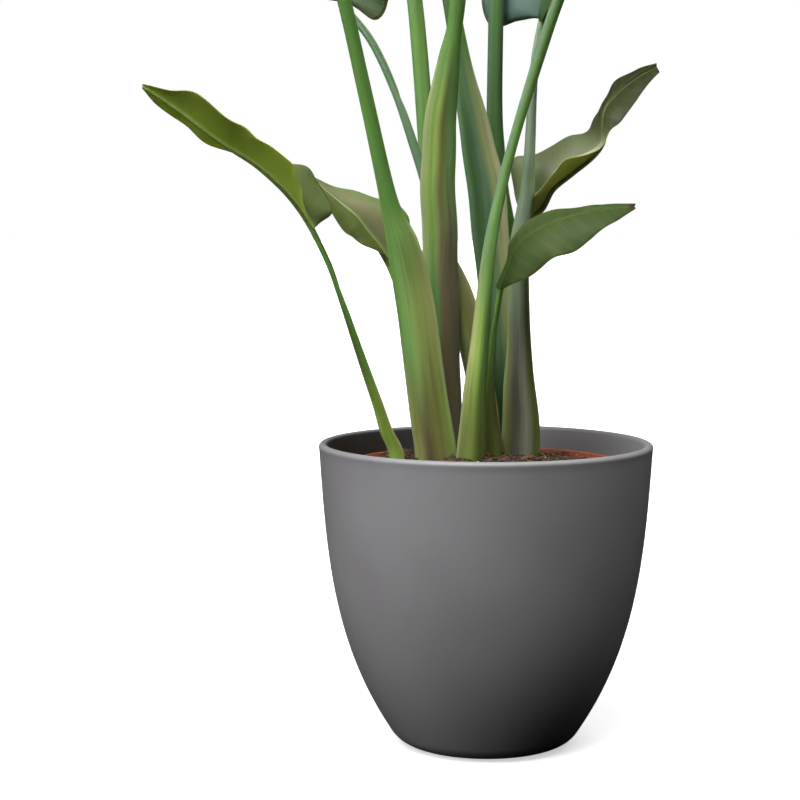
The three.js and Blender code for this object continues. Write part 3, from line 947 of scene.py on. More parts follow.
@dataclass
class Soil:
    """Potting soil: a bumpy low dome, with crumbs, bark, fibres and pale grains on it.

    The heap is a place, a reach and a height, and each swell a height, a wavelength and a seed.
    """

    radius: float = 108.6
    foot_radius: float = 79.6
    foot_height: float = 30.2
    crown: float = 244.0
    edge_drop: float = 13.0
    side_drop: float = 8.0
    heap: tuple[float, float, float, float] = (-70.0, 52.0, 26.0, 6.0)
    swells: Rows = ((1.1, 46, 3), (0.9, 19, 4), (0.7, 9, 5), (0.45, 4.5, 6))
    rings: int = 96
    segments: int = 216
    clear_of_wall: float = 3.0
    fibres: int = 170
    fibre_lengths: tuple[float, float] = (7.0, 24.0)
    fibre_radii: tuple[float, float] = (0.22, 0.5)
    fibre_arch: float = 2.2
    fibre_lift: float = 0.7
    fibre_steps: int = 7
    fibre_seed: int = 9
    seed: int = 41
    finish: Earth = Earth("dark_soil", "#211812", "#4a382b")
    fibre_finish: Earth = Earth("root_fibre", "#4a3423", "#8d6d4c", 80.0)
    litter: tuple[Litter, ...] = LITTER

    def height(self, x: Array, y: Array) -> Array:
        """The soil's height: a dome that falls by the square of the share of the radius, with swells.

        Args:
            x: places to the right, in millimetres.
            y: places away from the viewer.

        Returns:
            Heights in millimetres.
        """
        share = np.hypot(x, y) / self.radius
        flat = np.stack([x, y], -1)
        heap_x, heap_y, reach, rise = self.heap
        heap = rise * np.exp(-((x - heap_x) ** 2 + (y - heap_y) ** 2) / reach ** 2)
        bumps = sum(high * swell(flat, wavelength, seed) for high, wavelength, seed in self.swells)
        return self.crown - self.edge_drop * share ** 2 + heap + bumps * np.clip(3.2 * (1.02 - share), 0, 1)

    def build(self) -> None:
        """Builds the soil body and everything that lies on it."""
        angle = around(self.segments)
        radius = self.radius * np.linspace(1, 0, self.rings + 1)[:-1, None]
        x = radius * np.cos(angle)
        y = radius * np.sin(angle)
        top = np.stack([x, y, self.height(x, y)], -1)
        ring = np.stack([np.cos(angle), np.sin(angle), np.zeros_like(angle)], -1)
        foot = ring * self.foot_radius + UP * self.foot_height
        side = ring * self.radius + UP * (self.crown - self.edge_drop - self.side_drop)
        body = tube(np.concatenate([foot[None], side[None], top]), {})
        body.build("soil_body", self.finish.material(), "soil")
        for kind in self.litter:
            self._scatter(kind)
        self._fibres()

    def _places(self, count: int, seed: int) -> tuple[np.random.Generator, Array]:
        """Draws places on the soil.

        Args:
            count: how many.
            seed: added to the soil's own seed.

        Returns:
            The random source and the places.
        """
        draw = np.random.default_rng(self.seed + seed)
        radius = (self.radius - self.clear_of_wall) * np.sqrt(draw.random(count))
        angle = draw.uniform(0, 2 * np.pi, count)
        x = radius * np.cos(angle)
        y = radius * np.sin(angle)
        return draw, np.stack([x, y, self.height(x, y)], -1)

    def _scatter(self, kind: Litter) -> None:
        """Scatters small lumps: icosahedra with uneven corners, squashed and turned at random.

        Args:
            kind: what they are.
        """
        count = kind.count
        draw, places = self._places(count, kind.seed)
        corners, faces = icosahedron()
        small, large = kind.sizes
        size = small * (large / small) ** (draw.random(count) ** 1.8)
        scale = size[:, None] * np.array([1.0, *kind.flatness]) * draw.uniform(0.75, 1.3, (count, 3))
        uneven = corners * draw.uniform(0.7, 1.25, (count, len(corners), 1))
        yaw = draw.uniform(0, 2 * np.pi, count)
        pitch = draw.normal(0, 0.35, count)
        roll = draw.normal(0, 0.35, count)
        turn = spin(yaw, 0, 1) @ spin(pitch, 2, 0) @ spin(roll, 1, 2)
        points = np.einsum("nij,nkj->nki", turn, uneven * scale[:, None])
        lifted = places + UP * (scale[:, 2:] * 0.35)
        shift = (np.arange(count) * len(corners))[:, None, None]
        lumps = Surface((points + lifted[:, None]).reshape(-1, 3), [(faces + shift).reshape(-1, 3)])
        lumps.build(kind.name, kind.finish.material(), "soil", replaces=False)

    def _fibres(self) -> None:
        """Lays bent fibres on the soil, each a thin four-sided tube along a shallow arch."""
        count = self.fibres
        draw, places = self._places(count, self.fibre_seed)
        t = np.linspace(-0.5, 0.5, self.fibre_steps)
        length = draw.uniform(*self.fibre_lengths, count)
        heading = draw.uniform(0, 2 * np.pi, count)
        bend = draw.normal(0, 0.5, count)
        ahead = np.stack([np.cos(heading), np.sin(heading)], -1)
        aside = np.stack([-np.sin(heading), np.cos(heading)], -1)
        flat = (places[:, None, :2] + (length[:, None] * t)[..., None] * ahead[:, None]
                + (length[:, None] * bend[:, None] * t ** 2)[..., None] * aside[:, None])
        reach = np.hypot(flat[..., 0], flat[..., 1])
        flat *= np.minimum(1, (self.radius - self.clear_of_wall) / reach)[..., None]
        arch = draw.uniform(0, self.fibre_arch, count)[:, None] * (1 - 4 * t ** 2)
        rise = self.height(flat[..., 0], flat[..., 1]) + self.fibre_lift + arch
        line = np.concatenate([flat, rise[..., None]], -1)
        thick = draw.uniform(*self.fibre_radii, count)[:, None, None, None]
        corner = around(4)[:, None]
        side = np.concatenate([aside, np.zeros((count, 1))], -1)[:, None, None, :]
        rings = line[:, :, None] + thick * (np.cos(corner) * UP + np.sin(corner) * side)
        pieces = [tube(one[::-1], {}) for one in rings]
        shift = (np.arange(count) * len(pieces[0].points))[:, None, None]
        faces = [(kind + shift).reshape(-1, kind.shape[1]) for kind in pieces[0].faces]
        whole = Surface(np.concatenate([piece.points for piece in pieces]), faces)
        whole.build("soil_fibres", self.fibre_finish.material(), "soil", replaces=False)


def icosahedron() -> tuple[Array, Array]:
    """Works out an icosahedron, whose corners are the turns of (0, 1, golden ratio) with both signs.

    Returns:
        Its twelve corners, at distance one, and its twenty faces, facing outwards.
    """
    golden = (1 + math.sqrt(5)) / 2
    pairs = [(a, b) for a in (-1, 1) for b in (-golden, golden)]
    corners = np.array([corner for a, b in pairs for corner in ((0, a, b), (a, b, 0), (b, 0, a))])
    near = np.linalg.norm(corners[:, None] - corners[None], axis=-1)
    joined = (near > 0.1) & (near < 2.1)
    a, b, c = np.nonzero(joined[:, :, None] & joined[None] & joined[:, None])
    faces = np.stack([a, b, c], -1)[(a < b) & (b < c)]
    first, second, third = (corners[faces[:, k]] for k in range(3))
    outward = (np.cross(second - first, third - first) * first).sum(-1) > 0
    return unit(corners), np.where(outward[:, None], faces, faces[:, ::-1])


def spin(angle: Array, first: int, second: int) -> Array:
    """Rotation matrices in the plane of two axes.

    Args:
        angle: the turns, in radians.
        first: the axis that is turned.
        second: the axis that it is turned towards.

    Returns:
        A matrix for each angle.
    """
    matrix = np.tile(np.eye(3), (len(angle), 1, 1))
    matrix[:, first, first] = np.cos(angle)
    matrix[:, second, second] = np.cos(angle)
    matrix[:, second, first] = np.sin(angle)
    matrix[:, first, second] = -np.sin(angle)
    return matrix


# ---------------------------------------------------------------- blades


@dataclass
class Blade:
    """A leaf's blade: a thin sheet with a waved margin over a middle surface.

    The middle surface is read at u from foot (0) to tip (1) and at v from the right margin (-1) over the
    midrib (0) to the left margin (1). Sizes are in millimetres. vein_slant is how far the side veins run
    forward in a half width, straight and bent, and rib_line the pale line's reach at the tip and what it
    gains towards the foot.
    """

    finish: BladeFinish = BladeFinish()
    thickness: float = 0.9
    rim_thickness: float = 0.45
    long: int = 132
    wide: int = 48
    groove: float = 0.7
    groove_reach: float = 1.7
    frill: float = 0.9
    frill_pitches: tuple[float, float] = (6.1, 3.7)
    full_frill: float = 30.0
    vein_slant: tuple[float, float] = (0.30, 0.22)
    rib_line: tuple[float, float] = (0.5, 1.1)

    def point(self, u: Array, v: Array) -> Array:
        """The place of the middle surface at u and v."""
        raise NotImplementedError

    def half_width(self, u: Array) -> Array:
        """The distance from the midrib to a margin at u."""
        raise NotImplementedError

    def run(self) -> float:
        """The length of the midrib."""
        raise NotImplementedError

    def frame(self, u: Array) -> tuple[Array, Array, Array]:
        """The blade's own directions on the midrib.

        Args:
            u: shares of the length.

        Returns:
            The directions along the midrib, to the left of it, and out of the upper face.
        """
        zero = np.zeros_like(u)
        ahead = self.point(np.minimum(1, u + 0.02), zero)
        along = unit(ahead - self.point(np.maximum(0, u - 0.02), zero))
        nearby = np.clip(u, 0.05, 0.95)
        left = self.point(nearby, zero + 1) - self.point(nearby, zero - 1)
        left = unit(left - (left * along).sum(-1, keepdims=True) * along)
        return along, left, np.cross(along, left)

    def build(self, name: str) -> None:
        """Builds the sheet and dresses it.

        The sheet is half a thickness each side of the middle surface, and thins to its margins. A groove
        runs over the midrib, and small frills run along the margins. The side veins leave the midrib at
        a slant, and the pale line on the midrib narrows to the tip.

        Args:
            name: the leaf's name.
        """
        u = np.linspace(0, 1, self.long + 1)
        side = np.linspace(-1, 1, self.wide + 1)
        u, v = np.meshgrid(u, side * np.abs(side) ** 0.5, indexing="ij")
        middle = self.point(u, v)
        along = np.gradient(middle, axis=0)
        across = np.gradient(middle, axis=1)
        normal = unit(np.cross(along, across))
        half = self.half_width(u)
        off = np.abs(v) * half
        slow, quick = (u * self.run() / pitch for pitch in self.frill_pitches)
        ripple = np.sin(slow + 3 * v) + 0.6 * np.sin(quick + 1.3 - 2 * v)
        frill = self.frill * np.abs(v) ** 3 * np.clip(half / self.full_frill, 0, 1) * ripple
        dip = -self.groove * np.exp(-(off / self.groove_reach) ** 2)
        middle = middle + normal * (frill + dip)[..., None]
        thick = self.rim_thickness + (self.thickness - self.rim_thickness) * (1 - np.abs(v) ** 2)
        top = middle + normal * (thick / 2)[..., None]
        under = middle - normal * (thick / 2)[..., None]
        straight, bent = self.vein_slant
        vein = (u * self.run() - (straight * np.abs(v) + bent * v ** 2) * half) * MM
        at_tip, gain = self.rib_line
        ribbed = np.exp(-(off / (at_tip + gain * (1 - u))) ** 2)

        def attributes(face: float) -> dict[str, Array]:
            """The vector attributes of the upper face (1) or the lower one (0)."""
            return {"span": np.stack([u, v, off * MM], -1),
                    "vein": np.stack([vein, ribbed, u * 0 + face], -1)}

        node = f"{name}_blade"
        shell(top, under, attributes).build(f"{node}_form", self.finish.material(node), node)


@dataclass
class SpreadBlade(Blade):
    """A big paddle blade that leans out from its foot in one direction.

    Its midrib is an arc whose angle from upright runs from lean[0] to lean[1]. The half width follows
    scale times u to the foot_power times (1 - u) to the tip_power. The halves rise in a shallow V and
    droop towards their margins, and a round lobe hangs on each side of the foot. Near the foot each half
    is turned up about the midrib by its fold in degrees. Lobes and folds go left half first.
    """

    foot: tuple[float, float, float] = (0.0, 0.0, 0.0)
    azimuth: float = 0.0
    lean: tuple[float, float] = (15.0, 75.0)
    length: float = 350.0
    width: float = 150.0
    lobes: tuple[float, float] = (14.0, 14.0)
    fold: tuple[float, float] = (0.0, 0.0)
    wave: float = 5.0
    phase: float = 0.0
    scale: float = 2.118
    foot_power: float = 0.42
    tip_power: float = 0.72
    vee: float = 0.42
    droop: float = 0.4
    waves_along: float = 2.6
    lobe_reach: float = 0.06
    unfolds: float = 0.6

    def run(self) -> float:
        """The length of the midrib."""
        return self.length

    def half_width(self, u: Array) -> Array:
        """The paddle's half width, never less than a narrow foot and tip."""
        paddle = self.scale * u ** self.foot_power * (1 - u) ** self.tip_power
        return np.maximum(self.width / 2 * paddle, 5.0 - 3.5 * u)

    def point(self, u: Array, v: Array) -> Array:
        """The place of the middle surface, by the formula in the class's own words.

        Args:
            u: shares of the length.
            v: shares of the half width.

        Returns:
            Places in millimetres.
        """
        heading = math.radians(self.azimuth)
        out = np.array([math.cos(heading), math.sin(heading), 0.0])
        start, end = np.radians(self.lean)
        turn = end - start
        angle = (start + turn * u)[..., None]
        side = np.cross(UP, out)
        normal = UP * np.sin(angle) - out * np.cos(angle)
        along = out * np.sin(angle) + UP * np.cos(angle)
        half = self.half_width(u)
        ripple = np.sin(2 * np.pi * self.waves_along * u + self.phase + v)
        rise = half * (self.vee * np.abs(v) - self.droop * v * v)
        rise = rise + self.wave * v * v * np.clip(half / self.full_frill, 0, 1) * ripple
        is_right = v < 0
        lobe = np.where(is_right, self.lobes[1], self.lobes[0])
        hang = lobe * v * v * (u / self.lobe_reach) * np.exp(1 - u / self.lobe_reach)
        fold = np.radians(np.where(is_right, self.fold[1], self.fold[0]))
        fold = fold * (1 - smoothstep(u / self.unfolds))
        reach = np.abs(v) * half
        sideways = np.sign(v) * (reach * np.cos(fold) - rise * np.sin(fold))
        lift = reach * np.sin(fold) + rise * np.cos(fold)
        return (np.array(self.foot) + out * (self.length / turn * (math.cos(start) - np.cos(angle)))
                + UP * (self.length / turn * (np.sin(angle) - math.sin(start)))
                + side * sideways[..., None] + normal * lift[..., None] - along * hang[..., None])


@dataclass
class DrawnBlade(Blade):
    """A small folded or twisted blade between three drawn lines, a little puffed between them."""

    midrib: Rows = ()
    left: Rows = ()
    right: Rows = ()
    puff: float = 0.16

    def run(self) -> float:
        """The length of the midrib."""
        return float(lengths(np.array(self.midrib)).sum())

    def margin(self, u: Array, v: Array) -> tuple[Array, Array]:
        """The two lines between which the blade is drawn.

        Args:
            u: shares of the length.
            v: less than 0 for the right margin.

        Returns:
            The midrib's place at u, and the margin's.
        """
        t = u * (len(self.midrib) - 1)
        edge = np.where((v < 0)[..., None], through(self.right, t), through(self.left, t))
        return through(self.midrib, t), edge

    def half_width(self, u: Array) -> Array:
        """The mean distance from the midrib to the margins.

        Args:
            u: shares of the length.

        Returns:
            Distances in millimetres.
        """
        middle, right = self.margin(u, np.full_like(u, -1.0))
        _, left = self.margin(u, np.full_like(u, 1.0))
        return (np.linalg.norm(right - middle, axis=-1) + np.linalg.norm(left - middle, axis=-1)) / 2

    def point(self, u: Array, v: Array) -> Array:
        """The place on the way from the midrib to the margin, lifted out of the straight by the puff.

        Args:
            u: shares of the length.
            v: shares of the half width.

        Returns:
            Places in millimetres.
        """
        middle, edge = self.margin(u, v)
        share = np.abs(v)[..., None]
        way = edge - middle
        ahead = self.margin(np.minimum(1, u + 0.01), v)[0] - self.margin(np.maximum(0, u - 0.01), v)[0]
        lift = unit(np.cross(ahead, way) * np.where(v < 0, -1.0, 1.0)[..., None])
        size = np.linalg.norm(way, axis=-1, keepdims=True)
        return middle + way * share + lift * size * (self.puff * share * (1 - share) * 2)


# ---------------------------------------------------------------- stalks


@dataclass
class Stalk:
    """A leaf's stalk: clasping sheath, leaf stalk and midrib, grown as one.

    Its line runs through drawn rows of x, y, z and width, and then under the blade. The section is an
    ellipse in the leaf stalk, with a channel down its upper side. It opens into a crescent in the sheath
    and is thinner at the sheath's free margin, which is on the side of the section's wide direction for
    a margin of 1 and on the other side for -1. facing is that direction's heading in degrees. Depths are
    shares of the width, and the rib fields say how the midrib narrows and how deep it sinks into the
    blade. Between sheath_top and sheath_run below it the sheath opens.
    """

    rows: Rows
    sheath_top: float
    facing: float
    margin: int
    finish: StalkFinish
    seed: int = 0
    channel: float = 0.5
    channel_reach: float = 0.42
    crease: float = 0.0
    crease_at: float = 0.45
    crease_reach: float = 0.10
    steps: int = 13
    sides: int = 48
    sheath_run: float = 90.0
    rib_steps: int = 109
    rib_end: float = 0.985
    rib_fade: int = 12
    thinning: float = 0.72
    thinning_power: float = 1.5
    cupping: float = 0.3
    stalk_depth: float = 0.92
    sheath_depth: float = 0.62
    ridges: int = 17
    ridge_share: float = 0.012
    wander: float = 0.35
    wander_length: float = 60.0
    rib_tip: float = 1.4
    rib_share: float = 0.95
    rib_power: float = 0.9
    rib_sink: float = 0.3
    speckled: tuple[float, float] = (420.0, 200.0)
    grain_radius: float = 0.012
    grain_stretch: float = 0.03
    grain_shift: float = 0.37

    def rib_rows(self, blade: Blade, u: Array) -> Array:
        """Where the midrib lies under the blade, and its width there.

        Args:
            blade: the leaf's blade.
            u: shares of the blade's length.

        Returns:
            Rows of x, y, z and width.
        """
        width = self.rib_tip + (self.rows[-1][3] * self.rib_share - self.rib_tip) * (1 - u) ** self.rib_power
        normal = blade.frame(u)[2]
        under = blade.thickness / 2 + width * self.stalk_depth / 2 * (1 - self.rib_sink)
        place = blade.point(u, np.zeros_like(u)) - normal * under[:, None]
        return np.concatenate([place, width[:, None]], -1)

    def line(self, blade: Blade) -> tuple[Array, Array]:
        """The stalk's line in close steps, up to the blade and then under it.

        Args:
            blade: the leaf's blade.

        Returns:
            Rows of x, y, z and width, and the section's wide direction at each.
        """
        foot = self.rib_rows(blade, np.array([0.0, 0.04]))
        drawn = len(self.rows)
        at = np.linspace(0, drawn, drawn * self.steps + 1)
        free = through(np.concatenate([np.array(self.rows), foot]), at)
        u = np.linspace(0, self.rib_end, self.rib_steps + 1)[1:]
        heading = math.radians(self.facing)
        start = np.array([math.cos(heading), math.sin(heading), 0.0])
        end = blade.frame(np.zeros(1))[1][0]
        share = smoothstep((free[:, 2:3] - self.sheath_top) / (foot[0, 2] - self.sheath_top))
        wide = np.concatenate([start + (end - start) * share, blade.frame(u)[1]])
        return np.concatenate([free, self.rib_rows(blade, u)]), wide

    def build(self, name: str, blade: Blade) -> None:
        """Builds the stalk and dresses it.

        A ring's sides lie at its centre, plus the wide direction by the half width times the cosine, plus
        the deep direction by the half depth times the sine. The cosine's square cups the open sheath, and
        bell curves round the section dent the channel and raise the crease.

        Args:
            name: the leaf's name.
            blade: the leaf's blade.
        """
        rows, wide = self.line(blade)
        centre = rows[:, :3]
        along = unit(np.gradient(centre, axis=0))
        wide = unit(wide - (wide * along).sum(-1, keepdims=True) * along)
        deep = np.cross(along, wide)
        length = np.concatenate([[0], np.cumsum(lengths(centre))])[:, None]
        theta = around(self.sides)
        cosine = np.cos(theta)[None]
        sine = np.sin(theta)[None]
        opened = smoothstep((self.sheath_top - centre[:, 2:]) / self.sheath_run)
        half = rows[:, 3:] / 2
        depth = half * (self.stalk_depth + (self.sheath_depth - self.stalk_depth) * opened)
        free = np.maximum(0, self.margin * cosine)
        thin = 1 - self.thinning * opened * free ** self.thinning_power
        dent = np.exp(-(cosine / self.channel_reach) ** 2) * (sine > 0)
        groove = 1 - self.channel * (1 - 0.6 * opened) * dent
        fold = np.exp(-((self.margin * cosine - self.crease_at) / self.crease_reach) ** 2) * (sine < 0)
        ribbing = 1 + self.ridge_share * np.sin(theta * self.ridges + length * 0.004)
        drift = swell(np.stack([length, length * 0], -1), self.wander_length, 100 + self.seed)
        sideways = half * cosine * ribbing + self.wander * drift * opened
        bend = self.cupping * opened * half * cosine ** 2 + depth * self.crease * fold * opened
        out = bend + depth * sine * thin * groove * ribbing
        rings = centre[:, None] + wide[:, None] * sideways[..., None] + deep[:, None] * out[..., None]
        node = f"{name}_stalk"
        body = tube(rings, self.zones(centre[:, 2:], length, opened, free))
        body.build(f"{node}_form", self.finish.material(node), node)

    def zones(self, height: Array, length: Array, opened: Array, free: Array) -> dict[str, Array]:
        """The places by which the finish colours the stalk.

        Args:
            height: each ring's height.
            length: each ring's place along the stalk.
            opened: how far the sheath is open there.
            free: how near each side is to the free margin.

        Returns:
            The vector attributes. zone holds the place across, the height and the openness, edge the
            margin, the speckled foot and the rib, and grain a place on a round bar, for patterns.
        """
        theta = around(self.sides)
        rightward = math.copysign(1.0, math.cos(math.radians(self.facing)))
        flat = np.ones((len(height), self.sides))
        edge = smoothstep((free - 0.86) / 0.10) * smoothstep(opened * 1.6)
        speckled_to, speckled_run = self.speckled
        past_foot = np.arange(len(height)) - (len(height) - self.rib_steps)
        under_blade = smoothstep(0.5 + past_foot / self.rib_fade)[:, None]
        across = (1 + rightward * np.cos(theta)) / 2
        speckled = smoothstep((speckled_to - height) / speckled_run)
        bar = self.grain_radius * flat
        grain = length * self.grain_stretch * MM + self.seed * self.grain_shift
        return {
            "zone": np.stack([flat * across, flat * height * MM, flat * opened], -1),
            "edge": np.stack([edge, flat * speckled, flat * under_blade], -1),
            "grain": np.stack([bar * np.cos(theta), bar * np.sin(theta), flat * grain], -1),
        }


@dataclass
class Leaf:
    """One leaf: a stalk and its blade."""

    name: str
    stalk: Stalk
    blade: Blade

    def build(self) -> None:
        """Builds both pieces."""
        self.stalk.build(self.name, self.blade)
        self.blade.build(self.name)
